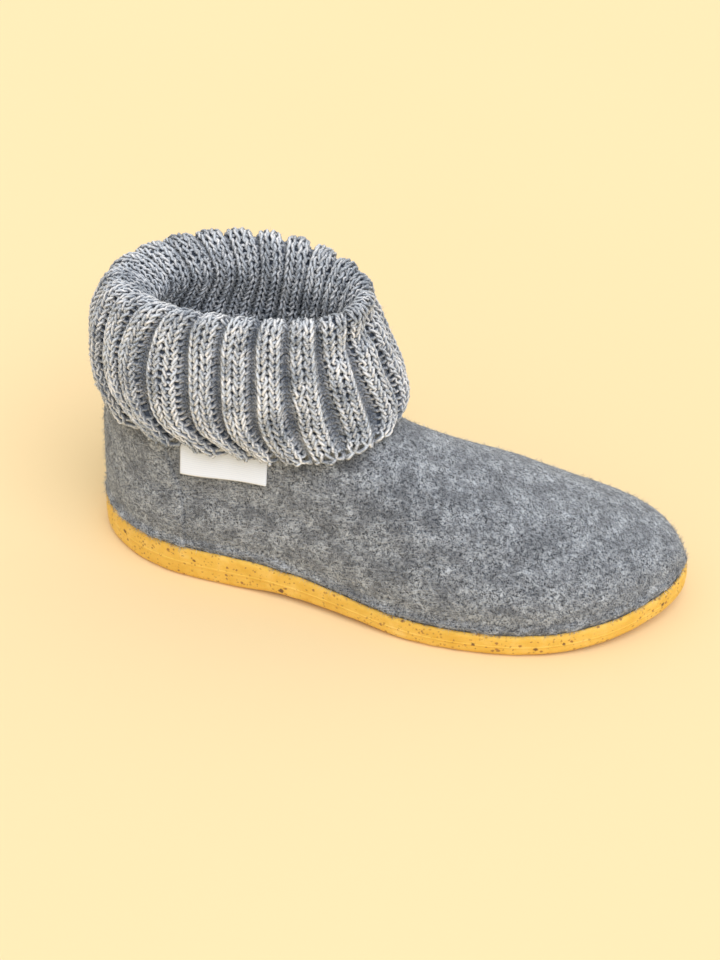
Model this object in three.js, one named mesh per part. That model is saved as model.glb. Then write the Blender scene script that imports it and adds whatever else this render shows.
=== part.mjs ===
// Right house slipper: a wool felt upper on a natural rubber sole, with a felt footbed inside,
// a rib-knit cuff sewn in at the collar and folded down, and a blank woven side label.
// Millimetres, +Z up, toe towards +X, outer side of the foot towards -Y.
import * as THREE from "three";

// Sole
const soleLength = 263;
const ballWidth = 97;
const heelThickness = 16.5;
const ballThickness = 11;
const toeSpring = 7;
const heelBevel = 1;
const archLift = 2;
const sideRound = 3.2;
const partingBead = 0.4;
const lipWidth = 2;
const lipDepth = 1.5;

// Upper
const feltWall = 3;
const instepHeight = 62.5;
const collarHeight = 72;
const panelStep = 0.6;

// Footbed
const footbedThickness = 4;
const footbedRound = 1.2;

// Knitted cuff
const cuffRise = 51;
const knitThickness = 2.4;
const ribCount = 22;
const ribDepth = 1.5;
const lapDepth = 12;
const hemSlack = 2.5;

// Side label
const labelWidth = 39;
const labelHeight = 17.5;
const labelOffset = 5;
const labelThickness = 1;
const labelLift = 1.2;
const labelRise = 2.5;

// Clearances between pieces that touch
const pieceGap = 0.3;
const lipGap = 0.6;
const footbedGap = 0.6;
const lapGap = 1.4;

// Outline of the sole: half width and centre line as shares of the ball width.
const solePlan = [
  { at: 0.1, half: 0.31, centre: 0 },
  { at: 0.24, half: 0.369, centre: -0.013 },
  { at: 0.4, half: 0.363, centre: -0.059 },
  { at: 0.56, half: 0.436, centre: -0.075 },
  { at: 0.7, half: 0.497, centre: -0.018 },
  { at: 0.84, half: 0.45, centre: 0.035 },
  { at: 0.95, half: 0.281, centre: 0.096 },
];
const heelRound = 0.505;
const toeRound = 0.61;
const toeCentre = 0.11;

// Where the sole's levels change, as shares of its length.
const heelBevelEnd = 0.07;
const arch = { rise: 0.27, full: 0.36, fall: 0.48, end: 0.6 };
const thinning = { start: 0.25, end: 0.65 };
const springStart = 0.74;

// Ridge line of the last above the edge of the sole, as shares of the instep height.
// Behind the collar it is only the height that the sides of the heel lean towards.
const ridgeLine = [
  { at: 0, height: 3.04 },
  { at: 0.2, height: 2.16 },
  { at: 0.34, height: 1.6 },
  { at: 0.42, height: 1.32 },
  { at: 0.5, height: 1.1 },
  { at: 0.6, height: 0.9 },
  { at: 0.7, height: 0.735 },
  { at: 0.8, height: 0.58 },
  { at: 0.9, height: 0.425 },
  { at: 1, height: 0.33 },
];
const toeCapStart = 0.8;
const toeCapPower = 2.6;
const toeCapRound = 2.2;
const crossPower = 2.35;
const sideBulge = 0.05;
const bulgeTop = 0.42;

// Back of the heel: how far it lies ahead of the lower edge, as shares of the collar height.
const heelLine = [
  { at: 0, ahead: 0 },
  { at: 0.14, ahead: -0.004 },
  { at: 0.42, ahead: 0 },
  { at: 0.63, ahead: 0.014 },
  { at: 0.84, ahead: 0.055 },
  { at: 1, ahead: 0.095 },
  { at: 1.2, ahead: 0.13 },
];

// Heights of the rings that shape the upper, as shares of the collar height.
const upperRings = [
  0, 0.055, 0.125, 0.208, 0.29, 0.36, 0.41, 0.444, 0.472, 0.504, 0.542, 0.59, 0.652, 0.729, 0.82, 0.91, 1,
];

// Seam of the heel panel: its place along the foot as shares of the sole's length.
const seam = { low: 0.189, high: 0.136, bend: 0.26 };

// Free folds of the cuff, from inside the collar over the roll and down the outside: ends as shares
// of the sole's length, widths as shares of the ball width, rises above the collar of the cuff's rise.
const cuffFolds = [
  { name: "neck", back: 0.056, front: 0.432, half: 0.262, centre: -0.015, rise: [0.12, 0.12, 0.12, 0.16] },
  { name: "wall", back: 0.086, front: 0.43, half: 0.258, centre: -0.01, rise: [0.44, 0.44, 0.48, 0.47] },
  { name: "inner roll", back: 0.106, front: 0.436, half: 0.228, centre: 0, rise: [0.69, 0.72, 0.8, 0.77] },
  { name: "crest", back: 0.058, front: 0.461, half: 0.287, centre: 0, rise: [0.85, 0.91, 1.04, 0.98] },
  { name: "outer roll", back: 0.022, front: 0.475, half: 0.352, centre: 0, rise: [0.67, 0.74, 0.85, 0.79] },
  { name: "bulge", back: 0.01, front: 0.499, half: 0.403, centre: -0.01, rise: [0.33, 0.37, 0.45, 0.46] },
  { name: "skirt", back: 0.012, front: 0.522, half: 0.41, centre: -0.015, rise: [-0.02, 0.02, 0.06, 0.18] },
];
const ovalPower = 2.15;
const lapShare = [1, 1, 1, 0.5];

// Hem of the cuff, which lies round the upper: height as shares of the collar height, and how much
// of the hem's slack it hangs away, at the back, outer side, inner side and front.
const hem = { height: [0.83, 0.8, 0.82, 0.94], slack: [0.12, 1, 1, 1.2] };

// Stretches of the cuff where each ring is placed, counted in folds from the lap to the hem.
const cuffStations = [0, 1, 2, 3, 3.5, 4, 4.5, 5, 5.5, 6, 6.5, 7, 8, 8.5, 9];
const lapRibs = 0.25;

// Counts of facets
const soleSegments = 56;
const footbedSegments = 48;
const heelColumns = 7;
const frontColumns = 17;
const ribPoints = 4;
const labelColumns = 6;
const labelRows = 3;

const clamp = (value) => Math.min(1, Math.max(0, value));

function smoothStep(value) {
  const t = clamp(value);
  return t * t * (3 - 2 * t);
}

// Natural cubic curve through rows of { at, value }.
function curveThrough(points) {
  const last = points.length - 1;
  const bend = new Array(last + 1).fill(0);
  const share = new Array(last + 1).fill(0);
  for (let i = 1; i < last; i++) {
    const before = points[i].at - points[i - 1].at;
    const after = points[i + 1].at - points[i].at;
    const slopeBefore = (points[i].value - points[i - 1].value) / before;
    const slopeAfter = (points[i + 1].value - points[i].value) / after;
    const pivot = 2 * (before + after) - before * share[i - 1];
    share[i] = after / pivot;
    bend[i] = (6 * (slopeAfter - slopeBefore) - before * bend[i - 1]) / pivot;
  }
  for (let i = last - 1; i > 0; i--) {
    bend[i] -= share[i] * bend[i + 1];
  }
  return (at) => {
    let i = 0;
    while (i < last - 1 && at > points[i + 1].at) i++;
    const width = points[i + 1].at - points[i].at;
    const a = (points[i + 1].at - at) / width;
    const b = 1 - a;
    const line = a * points[i].value + b * points[i + 1].value;
    return line + ((a ** 3 - a) * bend[i] + (b ** 3 - b) * bend[i + 1]) * (width * width) / 6;
  };
}

// Sole: outline and levels

const fullnessRows = solePlan.map((row) => ({
  at: row.at,
  value: row.half / Math.sqrt(4 * row.at * (1 - row.at)),
}));
const fullness = curveThrough([{ at: 0, value: heelRound }, ...fullnessRows, { at: 1, value: toeRound }]);
const centreRows = solePlan.map((row) => ({ at: row.at, value: row.centre }));
const centre = curveThrough([{ at: 0, value: 0 }, ...centreRows, { at: 1, value: toeCentre }]);

const centreLine = (share) => ballWidth * centre(share);

function bottomLevel(share) {
  const spring = clamp((share - springStart) / (1 - springStart));
  const bevel = clamp((heelBevelEnd - share) / heelBevelEnd);
  const rise = smoothStep((share - arch.rise) / (arch.full - arch.rise));
  const fall = smoothStep((arch.end - share) / (arch.end - arch.fall));
  return toeSpring * spring ** 2 + heelBevel * bevel ** 2 + archLift * rise * fall;
}

function topLevel(share) {
  const thin = smoothStep((share - thinning.start) / (thinning.end - thinning.start));
  const spring = clamp((share - springStart) / (1 - springStart));
  return heelThickness + (ballThickness - heelThickness) * thin + toeSpring * spring ** 2;
}

const bedLevel = (share) => topLevel(share) - lipDepth;

// A ring follows the outline of the sole at an inset, from the heel along the outer side.
function outlineRing(count, inset, levelAt) {
  const ring = [];
  for (let i = 0; i < count; i++) {
    const angle = (2 * Math.PI * i) / count;
    const share = (1 - Math.cos(angle)) / 2;
    const x = inset + (soleLength - 2 * inset) * share;
    const half = ballWidth * fullness(share) - inset;
    ring.push(new THREE.Vector3(x, centreLine(share) - Math.sin(angle) * half, levelAt(x / soleLength)));
  }
  return ring;
}

// Upper: the surface of the last, by height above the sole's edge and angle round the foot

const ridgeCurve = curveThrough(ridgeLine.map((row) => ({ at: row.at, value: row.height })));
const heelCurve = curveThrough(heelLine.map((row) => ({ at: row.at, value: row.ahead })));
const upperInset = lipWidth + lipGap;

function ridgeHeight(share) {
  const cap = clamp((share - toeCapStart) / (1 - toeCapStart));
  return instepHeight * ridgeCurve(share) * (1 - cap ** toeCapPower) ** (1 / toeCapRound);
}

// Where the ridge comes down to a height: found by halving between the heel and the toe.
function frontAt(height) {
  let low = 0;
  let high = 1 - upperInset / soleLength;
  if (height <= ridgeHeight(high)) return high * soleLength;
  for (let step = 0; step < 40; step++) {
    const middle = (low + high) / 2;
    if (ridgeHeight(middle) > height) low = middle;
    else high = middle;
  }
  return low * soleLength;
}

const backAt = (height) => upperInset + collarHeight * heelCurve(height / collarHeight);

function lastPoint(angle, height) {
  const shaped = Math.max(height, 0);
  const back = backAt(shaped);
  const front = frontAt(shaped);
  const x = back + ((front - back) * (1 - Math.cos(angle))) / 2;
  const along = clamp((x - back) / (soleLength - upperInset - back));
  const roundness = Math.sqrt(4 * along * (1 - along));
  const half = roundness * (ballWidth * fullness(along) - upperInset);
  const lean = clamp(shaped / ridgeHeight(clamp(x / soleLength)));
  const narrowing = (1 - lean ** crossPower) ** (1 / crossPower);
  const swell = 1 + sideBulge * Math.sin(Math.PI * clamp(shaped / (bulgeTop * collarHeight)));
  const side = angle > Math.PI ? 1 : -1;
  const y = centreLine(along) + side * Math.max(half, 0) * narrowing * swell;
  return new THREE.Vector3(x, y, topLevel(x / soleLength) + height);
}

function lastNormal(angle, height) {
  const turn = 0.004;
  const lift = 0.05;
  const shaped = Math.max(height, lift);
  const around = lastPoint(angle + turn, shaped).sub(lastPoint((angle - turn + 2 * Math.PI) % (2 * Math.PI), shaped));
  const upward = lastPoint(angle, shaped + lift).sub(lastPoint(angle, shaped - lift));
  const normal = around.cross(upward);
  if (height <= 0) normal.z = 0;
  return normal.normalize();
}

const offsetPoint = (angle, height, distance) =>
  lastPoint(angle, height).addScaledVector(lastNormal(angle, height), distance);

const angleAt = (x, height) => {
  const back = backAt(height);
  return Math.acos(1 - (2 * (x - back)) / (frontAt(height) - back));
};

const seamPlace = (height) => {
  const rise = smoothStep((height / collarHeight - seam.bend) / (1 - seam.bend));
  return soleLength * (seam.low + (seam.high - seam.low) * rise);
};

// Columns of the upper at one height: { angle, raised }, closer together at the heel panel's seam.
function upperColumns(height) {
  const seamAngle = angleAt(seamPlace(Math.max(height, 0)), Math.max(height, 0));
  const seamHalf = 0.012;
  const half = [];
  for (let i = 1; i < heelColumns; i++) half.push({ angle: (seamAngle * i) / heelColumns, raised: true });
  half.push({ angle: seamAngle - seamHalf, raised: true });
  half.push({ angle: seamAngle + seamHalf, raised: false });
  for (let i = 1; i < frontColumns; i++) {
    half.push({ angle: seamAngle + ((Math.PI - seamAngle) * i) / frontColumns, raised: false });
  }
  const mirrored = half.map((column) => ({ ...column, angle: 2 * Math.PI - column.angle })).reverse();
  return [{ angle: 0, raised: true }, ...half, { angle: Math.PI, raised: false }, ...mirrored];
}

function upperRing(height, depth) {
  const proud = height > 0 && depth === 0 ? panelStep : 0;
  return upperColumns(height).map(({ angle, raised }) =>
    offsetPoint(angle, height, raised && proud ? proud : -depth),
  );
}

// Cuff: rings of a sheet that is folded over

// A value that is given at the back, outer side, inner side and front, all the way round.
function aroundValue([back, outer, inner, front], angle) {
  const middle = (front + back) / 2;
  const side = Math.sin(angle) > 0 ? outer : inner;
  return middle - ((front - back) / 2) * Math.cos(angle) + (side - middle) * Math.sin(angle) ** 2;
}

function foldPoint(fold, angle) {
  const cosine = Math.cos(angle);
  const sine = Math.sin(angle);
  const stretch = (Math.abs(cosine) ** ovalPower + Math.abs(sine) ** ovalPower) ** (-1 / ovalPower);
  const x = (soleLength * (fold.front + fold.back - (fold.front - fold.back) * cosine * stretch)) / 2;
  const y = ballWidth * (fold.centre - fold.half * sine * stretch);
  const z = topLevel(x / soleLength) + collarHeight + cuffRise * aroundValue(fold.rise, angle);
  return new THREE.Vector3(x, y, z);
}

function cuffRow(index, angle) {
  const inside = feltWall + lapGap + knitThickness / 2 + ribDepth * lapRibs;
  if (index === 0) return offsetPoint(angle, collarHeight - lapDepth * aroundValue(lapShare, angle), -inside);
  if (index === 1) {
    const mouth = offsetPoint(angle, collarHeight, -inside);
    mouth.z += knitThickness / 2;
    return mouth;
  }
  if (index <= cuffFolds.length + 1) return foldPoint(cuffFolds[index - 2], angle);
  const clear = pieceGap + panelStep + ribDepth + knitThickness / 2;
  const away = clear + hemSlack * aroundValue(hem.slack, angle);
  return offsetPoint(angle, collarHeight * aroundValue(hem.height, angle), away);
}

const cuffRows = cuffFolds.length + 3;

// The middle of the knitted sheet as natural cubic curves through its rows, one for each angle.
function cuffCurve(angle) {
  const rows = [];
  for (let i = 0; i < cuffRows; i++) rows.push(cuffRow(i, angle));
  const curve = (pick) => curveThrough(rows.map((point, i) => ({ at: i, value: pick(point) })));
  const alongX = curve((point) => point.x);
  const alongY = curve((point) => point.y);
  const alongZ = curve((point) => point.z);
  return (at) => new THREE.Vector3(alongX(at), alongY(at), alongZ(at));
}

// Angles that part a fold into stretches of equal length.
function evenAngles(fold, count) {
  const steps = 720;
  const lengths = [0];
  let before = foldPoint(fold, 0);
  for (let i = 1; i <= steps; i++) {
    const point = foldPoint(fold, (2 * Math.PI * i) / steps);
    lengths.push(lengths[i - 1] + point.distanceTo(before));
    before = point;
  }
  const angles = [];
  for (let i = 0, k = 0; i < count; i++) {
    const wanted = (lengths[steps] * (i + 0.5)) / count;
    while (lengths[k + 1] < wanted) k++;
    const part = (wanted - lengths[k]) / (lengths[k + 1] - lengths[k]);
    angles.push((2 * Math.PI * (k + part)) / steps);
  }
  return angles;
}

// Closed meshes from rings that all run the same way

function loftRings(rings, joined) {
  const count = rings[0].length;
  const positions = rings.flat().flatMap((point) => [point.x, point.y, point.z]);
  const faces = [];
  const spans = joined ? rings.length : rings.length - 1;
  for (let k = 0; k < spans; k++) {
    const low = k * count;
    const high = ((k + 1) % rings.length) * count;
    for (let i = 0; i < count; i++) {
      const j = (i + 1) % count;
      faces.push(low + i, low + j, high + j, low + i, high + j, high + i);
    }
  }
  if (!joined) {
    closeAcross(faces, 0, count, false);
    closeAcross(faces, (rings.length - 1) * count, count, true);
  }
  const geometry = new THREE.BufferGeometry();
  geometry.setAttribute("position", new THREE.Float32BufferAttribute(positions, 3));
  geometry.setIndex(faces);
  geometry.computeVertexNormals();
  return geometry;
}

// Closes an end ring with strips from its outer to its inner side.
function closeAcross(faces, start, count, facingUp) {
  for (let i = 0; i < count / 2; i++) {
    const near = [start + i, start + i + 1];
    const far = [start + ((count - i) % count), start + count - i - 1];
    const strip = [
      [near[0], near[1], far[1]],
      [near[0], far[1], far[0]],
    ];
    for (const [a, b, c] of strip) {
      if (a === b || b === c || a === c) continue;
      faces.push(...(facingUp ? [a, b, c] : [a, c, b]));
    }
  }
}

function makeOutsole() {
  const sideLevel = (part) => (share) => bottomLevel(share) + part * (topLevel(share) - bottomLevel(share));
  const above = (height) => (share) => bottomLevel(share) + height;
  const below = (depth) => (share) => topLevel(share) - depth;
  const profile = [
    { inset: 5 * sideRound, level: above(0) },
    { inset: sideRound, level: above(0) },
    { inset: 0.7 * partingBead + 0.3 * sideRound, level: above(0.3 * sideRound) },
    { inset: partingBead, level: above(sideRound) },
    { inset: partingBead, level: sideLevel(0.44) },
    { inset: 0, level: sideLevel(0.5) },
    { inset: partingBead, level: sideLevel(0.56) },
    { inset: partingBead, level: below(0.75 * sideRound) },
    { inset: partingBead + 0.3 * lipWidth, level: below(0.15 * sideRound) },
    { inset: 0.7 * lipWidth, level: below(0) },
    { inset: lipWidth, level: below(0.2 * lipDepth) },
    { inset: lipWidth, level: bedLevel },
    { inset: 6 * lipWidth, level: bedLevel },
  ];
  const rings = profile.map(({ inset, level }) => outlineRing(soleSegments, inset, level));
  return loftRings(rings, false);
}

// A ring inside the upper's wall, level with the bed of the sole.
function footbedRing(aboveBed, shrink) {
  const height = pieceGap + aboveBed - lipDepth;
  const ring = [];
  for (let i = 0; i < footbedSegments; i++) {
    const angle = (2 * Math.PI * i) / footbedSegments;
    const point = offsetPoint(angle, height, -(feltWall + footbedGap + shrink));
    point.z = bedLevel(point.x / soleLength) + pieceGap + aboveBed;
    ring.push(point);
  }
  return ring;
}

function makeFootbed() {
  const rings = [
    footbedRing(0, 0),
    footbedRing(footbedThickness - footbedRound, 0),
    footbedRing(footbedThickness - 0.3 * footbedRound, 0.3 * footbedRound),
    footbedRing(footbedThickness, footbedRound),
  ];
  return loftRings(rings, false);
}

function makeUpper() {
  const heights = [pieceGap - lipDepth, ...upperRings.map((share) => share * collarHeight)];
  const outside = heights.map((height) => upperRing(height, 0));
  const inside = heights.map((height) => upperRing(height, feltWall)).reverse();
  return loftRings([...outside, ...inside], true);
}

function makeCuff() {
  const bulge = cuffFolds.find((fold) => fold.name === "bulge");
  const angles = evenAngles(bulge, ribCount * ribPoints);
  const turn = 0.004;
  const walk = 0.02;
  const lastFold = cuffRows - 1;
  const columns = angles.map((angle, i) => {
    const curve = cuffCurve(angle);
    const before = cuffCurve(angle - turn);
    const after = cuffCurve(angle + turn);
    const wave = i % ribPoints < ribPoints / 2 ? 1 : -1;
    return cuffStations.map((at) => {
      const around = after(at).sub(before(at));
      const along = curve(Math.min(at + walk, lastFold)).sub(curve(Math.max(at - walk, 0)));
      const outward = along.cross(around).normalize();
      const ribs = ribDepth * (lapRibs + (1 - lapRibs) * smoothStep((at - 1) / 2));
      return { middle: curve(at), outward, rib: ribs * wave };
    });
  });
  const face = (side) =>
    cuffStations.map((at, k) =>
      columns.map((column) => {
        const { middle, outward, rib } = column[k];
        return middle.clone().addScaledVector(outward, rib + (side * knitThickness) / 2);
      }),
    );
  return loftRings([...face(-1), ...face(1).reverse()], true);
}

function makeLabel() {
  const top = collarHeight * hem.height[1] + labelThickness;
  const start = seamPlace(top - labelHeight) + labelOffset;
  const faces = [0, 1].map((layer) => {
    const rows = [];
    for (let row = 0; row <= labelRows; row++) {
      const level = top - labelHeight + (labelHeight * row) / labelRows;
      const lift = pieceGap + labelLift * (1 - row / labelRows) + layer * labelThickness;
      for (let column = 0; column <= labelColumns; column++) {
        const height = level + labelRise * (column / labelColumns) * (1 - row / labelRows);
        const x = start + (labelWidth * column) / labelColumns;
        rows.push(offsetPoint(angleAt(x, height), height, lift));
      }
    }
    return rows;
  });
  const width = labelColumns + 1;
  const layerSize = width * (labelRows + 1);
  const faceList = [];
  const quad = (a, b, c, d) => faceList.push(a, b, c, a, c, d);
  for (let row = 0; row < labelRows; row++) {
    for (let column = 0; column < labelColumns; column++) {
      const corner = row * width + column;
      quad(corner, corner + width, corner + width + 1, corner + 1);
      quad(layerSize + corner, layerSize + corner + 1, layerSize + corner + width + 1, layerSize + corner + width);
    }
  }
  for (let column = 0; column < labelColumns; column++) {
    const high = labelRows * width + column;
    quad(column, column + 1, layerSize + column + 1, layerSize + column);
    quad(high + 1, high, layerSize + high, layerSize + high + 1);
  }
  for (let row = 0; row < labelRows; row++) {
    const near = row * width;
    const far = near + labelColumns;
    quad(near + width, near, layerSize + near, layerSize + near + width);
    quad(far, far + width, layerSize + far + width, layerSize + far);
  }
  const geometry = new THREE.BufferGeometry();
  const positions = faces.flat().flatMap((point) => [point.x, point.y, point.z]);
  geometry.setAttribute("position", new THREE.Float32BufferAttribute(positions, 3));
  geometry.setIndex(faceList);
  geometry.computeVertexNormals();
  return geometry;
}

function addPiece(group, name, geometry, color, roughness) {
  const material = new THREE.MeshStandardMaterial({ color, roughness, metalness: 0 });
  const mesh = new THREE.Mesh(geometry, material);
  mesh.name = name;
  group.add(mesh);
}

const slipper = new THREE.Group();
addPiece(slipper, "outsole", makeOutsole(), 0xf3bd4c, 0.55);
addPiece(slipper, "insole", makeFootbed(), 0x8c9096, 0.95);
addPiece(slipper, "upper", makeUpper(), 0x858b93, 0.95);
addPiece(slipper, "knit_cuff", makeCuff(), 0x9da2a4, 0.95);
addPiece(slipper, "side_label", makeLabel(), 0xece9e2, 0.8);

// The origin is on the floor, under the middle of the slipper's length and width.
const bounds = new THREE.Box3().setFromObject(slipper);
const middle = bounds.getCenter(new THREE.Vector3());
slipper.position.set(-middle.x, -middle.y, -bounds.min.z);

export default slipper;
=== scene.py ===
import math
import bmesh
import bpy
import numpy as np
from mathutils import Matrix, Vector


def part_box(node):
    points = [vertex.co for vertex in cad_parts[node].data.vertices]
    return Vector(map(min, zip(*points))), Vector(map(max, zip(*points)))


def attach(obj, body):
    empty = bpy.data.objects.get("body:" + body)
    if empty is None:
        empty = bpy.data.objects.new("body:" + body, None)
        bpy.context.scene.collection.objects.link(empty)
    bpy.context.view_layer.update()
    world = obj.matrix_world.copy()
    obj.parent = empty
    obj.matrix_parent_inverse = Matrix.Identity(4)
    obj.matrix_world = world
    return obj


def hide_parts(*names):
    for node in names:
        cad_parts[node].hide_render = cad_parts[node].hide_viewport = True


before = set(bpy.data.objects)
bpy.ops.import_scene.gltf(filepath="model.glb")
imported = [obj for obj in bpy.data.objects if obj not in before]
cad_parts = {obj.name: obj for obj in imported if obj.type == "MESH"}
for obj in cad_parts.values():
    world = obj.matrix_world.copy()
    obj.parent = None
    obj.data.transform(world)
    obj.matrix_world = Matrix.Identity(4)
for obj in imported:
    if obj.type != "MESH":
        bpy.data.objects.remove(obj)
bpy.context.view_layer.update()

# House slipper: wool felt upper, felt footbed, rib-knit cuff folded down, rubber sole, blank label.
# Shapes are worked out in millimetres, toe towards +X and outer side towards -Y, and become metres
# when a mesh is made. A share runs from 0 at the heel to 1 at the toe of the sole.

millimetre = 0.001
fullTurn = 2 * math.pi
random = np.random.default_rng(7)

soleLow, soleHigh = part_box("outsole")

sole = {
    "length": (soleHigh[0] - soleLow[0]) / millimetre,
    "ballWidth": 97,
    "heelThickness": 16.5,
    "ballThickness": 11,
    "toeSpring": 7,
    "springStart": 0.74,
    "heelBevel": 1,
    "heelBevelEnd": 0.07,
    "archLift": 2,
    "archRise": (0.27, 0.36),  # the arch starts and is full, as shares
    "archFall": (0.48, 0.6),  # it starts to fall and ends
    "thinning": (0.25, 0.65),
    "edgeRound": 3.2,
    "beadHeight": 0.2,  # moulding line round the side
    "lipWidth": 2,
    "lipDepth": 1.5,
    "rimWander": 0.55,
    "rimWave": 7,
    # half width and centre line as shares of the ball width
    "plan": [
        (0.1, 0.31, 0), (0.24, 0.369, -0.013), (0.4, 0.363, -0.059), (0.56, 0.436, -0.075),
        (0.7, 0.497, -0.018), (0.84, 0.45, 0.035), (0.95, 0.281, 0.096),
    ],
    "heelFullness": 0.505,
    "toeFullness": 0.61,
    "toeCentre": 0.11,
    "columns": 480,
}

felt = {
    "wall": 3,
    "instepHeight": 62.5,
    "collarHeight": 72,
    "lipGap": 0.6,
    # height of the ridge of the last as a share of the instep height
    "ridge": [
        (0, 3.04), (0.2, 2.16), (0.34, 1.6), (0.42, 1.32), (0.5, 1.1),
        (0.6, 0.9), (0.7, 0.735), (0.8, 0.58), (0.9, 0.425), (1, 0.33),
    ],
    "toeCapStart": 0.8,
    "toeCapPower": 2.6,
    "toeCapRound": 2.2,
    "crossPower": 2.35,
    "sideBulge": 0.05,
    "bulgeTop": 0.42,
    # how far the back of the heel lies ahead of its lower edge, both as shares of the collar height
    "heelLine": [(0, 0), (0.14, -0.004), (0.42, 0), (0.63, 0.014), (0.84, 0.055), (1, 0.095), (1.2, 0.13)],
    "seamLow": 0.189,
    "seamHigh": 0.136,
    "seamBend": 0.26,
    "panelStep": 0.75,  # the heel panel laps over the side, with a cut edge this high
    "edgeWidth": 1.1,
    # soft troughs (-) and swells (+): share along, side (-1 outer, 1 inner, 0 both), share of the
    # collar height, length and height of the spot in millimetres, depth in millimetres
    "handling": [
        (0.27, -1, 0.42, 26, 20, -0.9),
        (0.16, -1, 0.3, 20, 16, 0.5),
        (0.45, -1, 0.5, 30, 16, 0.6),
        (0.6, -1, 0.25, 28, 12, -0.5),
        (0.77, -1, 0.2, 22, 10, 0.5),
        (0.5, 0, 0.86, 16, 14, -0.8),
        (0.66, 0, 0.6, 24, 12, 0.5),
        (0.3, 1, 0.4, 30, 20, -0.8),
        (0.52, 1, 0.35, 26, 14, 0.6),
        (0.7, 1, 0.22, 20, 10, -0.5),
        (0.88, 0, 0.2, 12, 8, -0.3),
    ],
    "footSwell": 1.6,  # the felt swells over the sole's lip
    "footSwellCentre": 2.6,
    "footSwellHeight": 2.0,
    "lumpSize": 7,
    "lumpDepth": 0.16,
    "napFibres": 18500,
    "napLength": (1.2, 3.4),
    "napRadius": 0.072,
    "napFootShare": 0.2,  # of the fibres, those along the lower edge
}

footbed = {
    "thickness": 4,
    "edgeRound": 1.2,
    "gap": 0.6,
    "lift": 0.3,
    "columns": 240,
}

cuff = {
    "rise": 51,
    "lapDepth": 12,
    "lapGap": 1.4,
    "lapShare": (1, 1, 1, 0.5),
    "knitThickness": 2.4,
    "ribDepth": 1.5,
    # folds from the mouth to the skirt: back and front as shares of the sole's length, half width and
    # centre as shares of the ball width, rise at the back, outer side, inner side and front
    "folds": [
        (0.056, 0.432, 0.262, -0.015, (0.12, 0.12, 0.12, 0.16)),
        (0.086, 0.43, 0.258, -0.01, (0.44, 0.44, 0.48, 0.47)),
        (0.106, 0.436, 0.228, 0, (0.69, 0.72, 0.8, 0.77)),
        (0.058, 0.461, 0.287, 0, (0.85, 0.91, 1.04, 0.98)),
        (0.022, 0.475, 0.352, 0, (0.67, 0.74, 0.85, 0.79)),
        (0.01, 0.499, 0.403, -0.01, (0.33, 0.37, 0.45, 0.46)),
        (0.012, 0.522, 0.41, -0.015, (-0.02, 0.02, 0.06, 0.18)),
    ],
    "bulgeFold": 5,
    "ovalPower": 2.15,
    "hemHeight": (0.83, 0.8, 0.82, 0.94),
    "hemSlack": 2.5,
    "hemSlackShare": (0.12, 1, 1, 1.2),
    "ribs": 22,
    "walesPerRib": 4,  # two knit, two purl
    "courses": 43,
    "knitPair": 10.0,  # width that two knit wales keep, so that crowded ribs hide the purl ones
    "knitShareLimits": (0.62, 0.9),
    "reliefHeight": 2.5,
    "reliefBias": -1.0,
    "reliefPower": 2.0,
    "openRib": 14.5,  # width of a rib where it stands at its full height
    "loopReach": 0.88,  # half height of a loop, in courses
    "loopLean": 1.52,  # 1 sets the legs upright, more closes the V
    "loopDepth": 0.7,
    "yarnRadius": 0.8,
    "yarnStrayAround": 0.26,
    "yarnStrayAlong": 0.26,
    # creases (-) and swells (+): place round in turns, share of the sheet, reach of both, millimetres
    "creases": [
        (0.5, 0.63, 0.05, 0.035, -3.2),
        (0.45, 0.665, 0.04, 0.03, -2.4),
        (0.47, 0.56, 0.06, 0.05, 0.8),
        (0.2, 0.66, 0.07, 0.06, -0.8),
        (0.04, 0.62, 0.04, 0.05, -0.8),
        (0.72, 0.7, 0.08, 0.06, -1.2),
    ],
    "ribSway": 0.9,
    # where the ribs lean towards the toe as they come down: place round the cuff in turns, its
    # reach in turns, the shares of the sheet between which they lean, and how many ribs they shift
    "ribLean": [
        (0.16, 0.04, 0.45, 0.75, -0.45),
        (0.09, 0.06, 0.8, 1.0, 1.0),
        (0.2, 0.06, 0.86, 1.0, 0.5),
        (0.33, 0.08, 0.6, 0.95, -0.3),
    ],
    "samples": 12,
    "sides": 5,
    "backingDepth": 0.9,
    "backingWall": 0.6,
    "fuzzFibres": 12500,
    "fuzzLength": (1.2, 3.6),
    "fuzzRadius": 0.05,
}

label = {
    "width": 39,
    "height": 17.5,
    "offset": 5,
    "thickness": 0.7,
    "gap": 0.35,
    "lift": 1.2,
    "lean": 2.5,
    "columns": 60,
    "rows": 26,
}


# Shared sums

def linearColour(hexText):
    # each sRGB byte as a share, then the sRGB curve undone
    shares = [int(hexText[i:i + 2], 16) / 255 for i in (1, 3, 5)]
    return tuple(s / 12.92 if s <= 0.04045 else ((s + 0.055) / 1.055) ** 2.4 for s in shares) + (1.0,)


def clamp(value):
    return np.clip(value, 0, 1)


def smoothStep(value):
    # three times the square less twice the cube, between 0 and 1
    t = clamp(value)
    return t * t * (3 - 2 * t)


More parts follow.
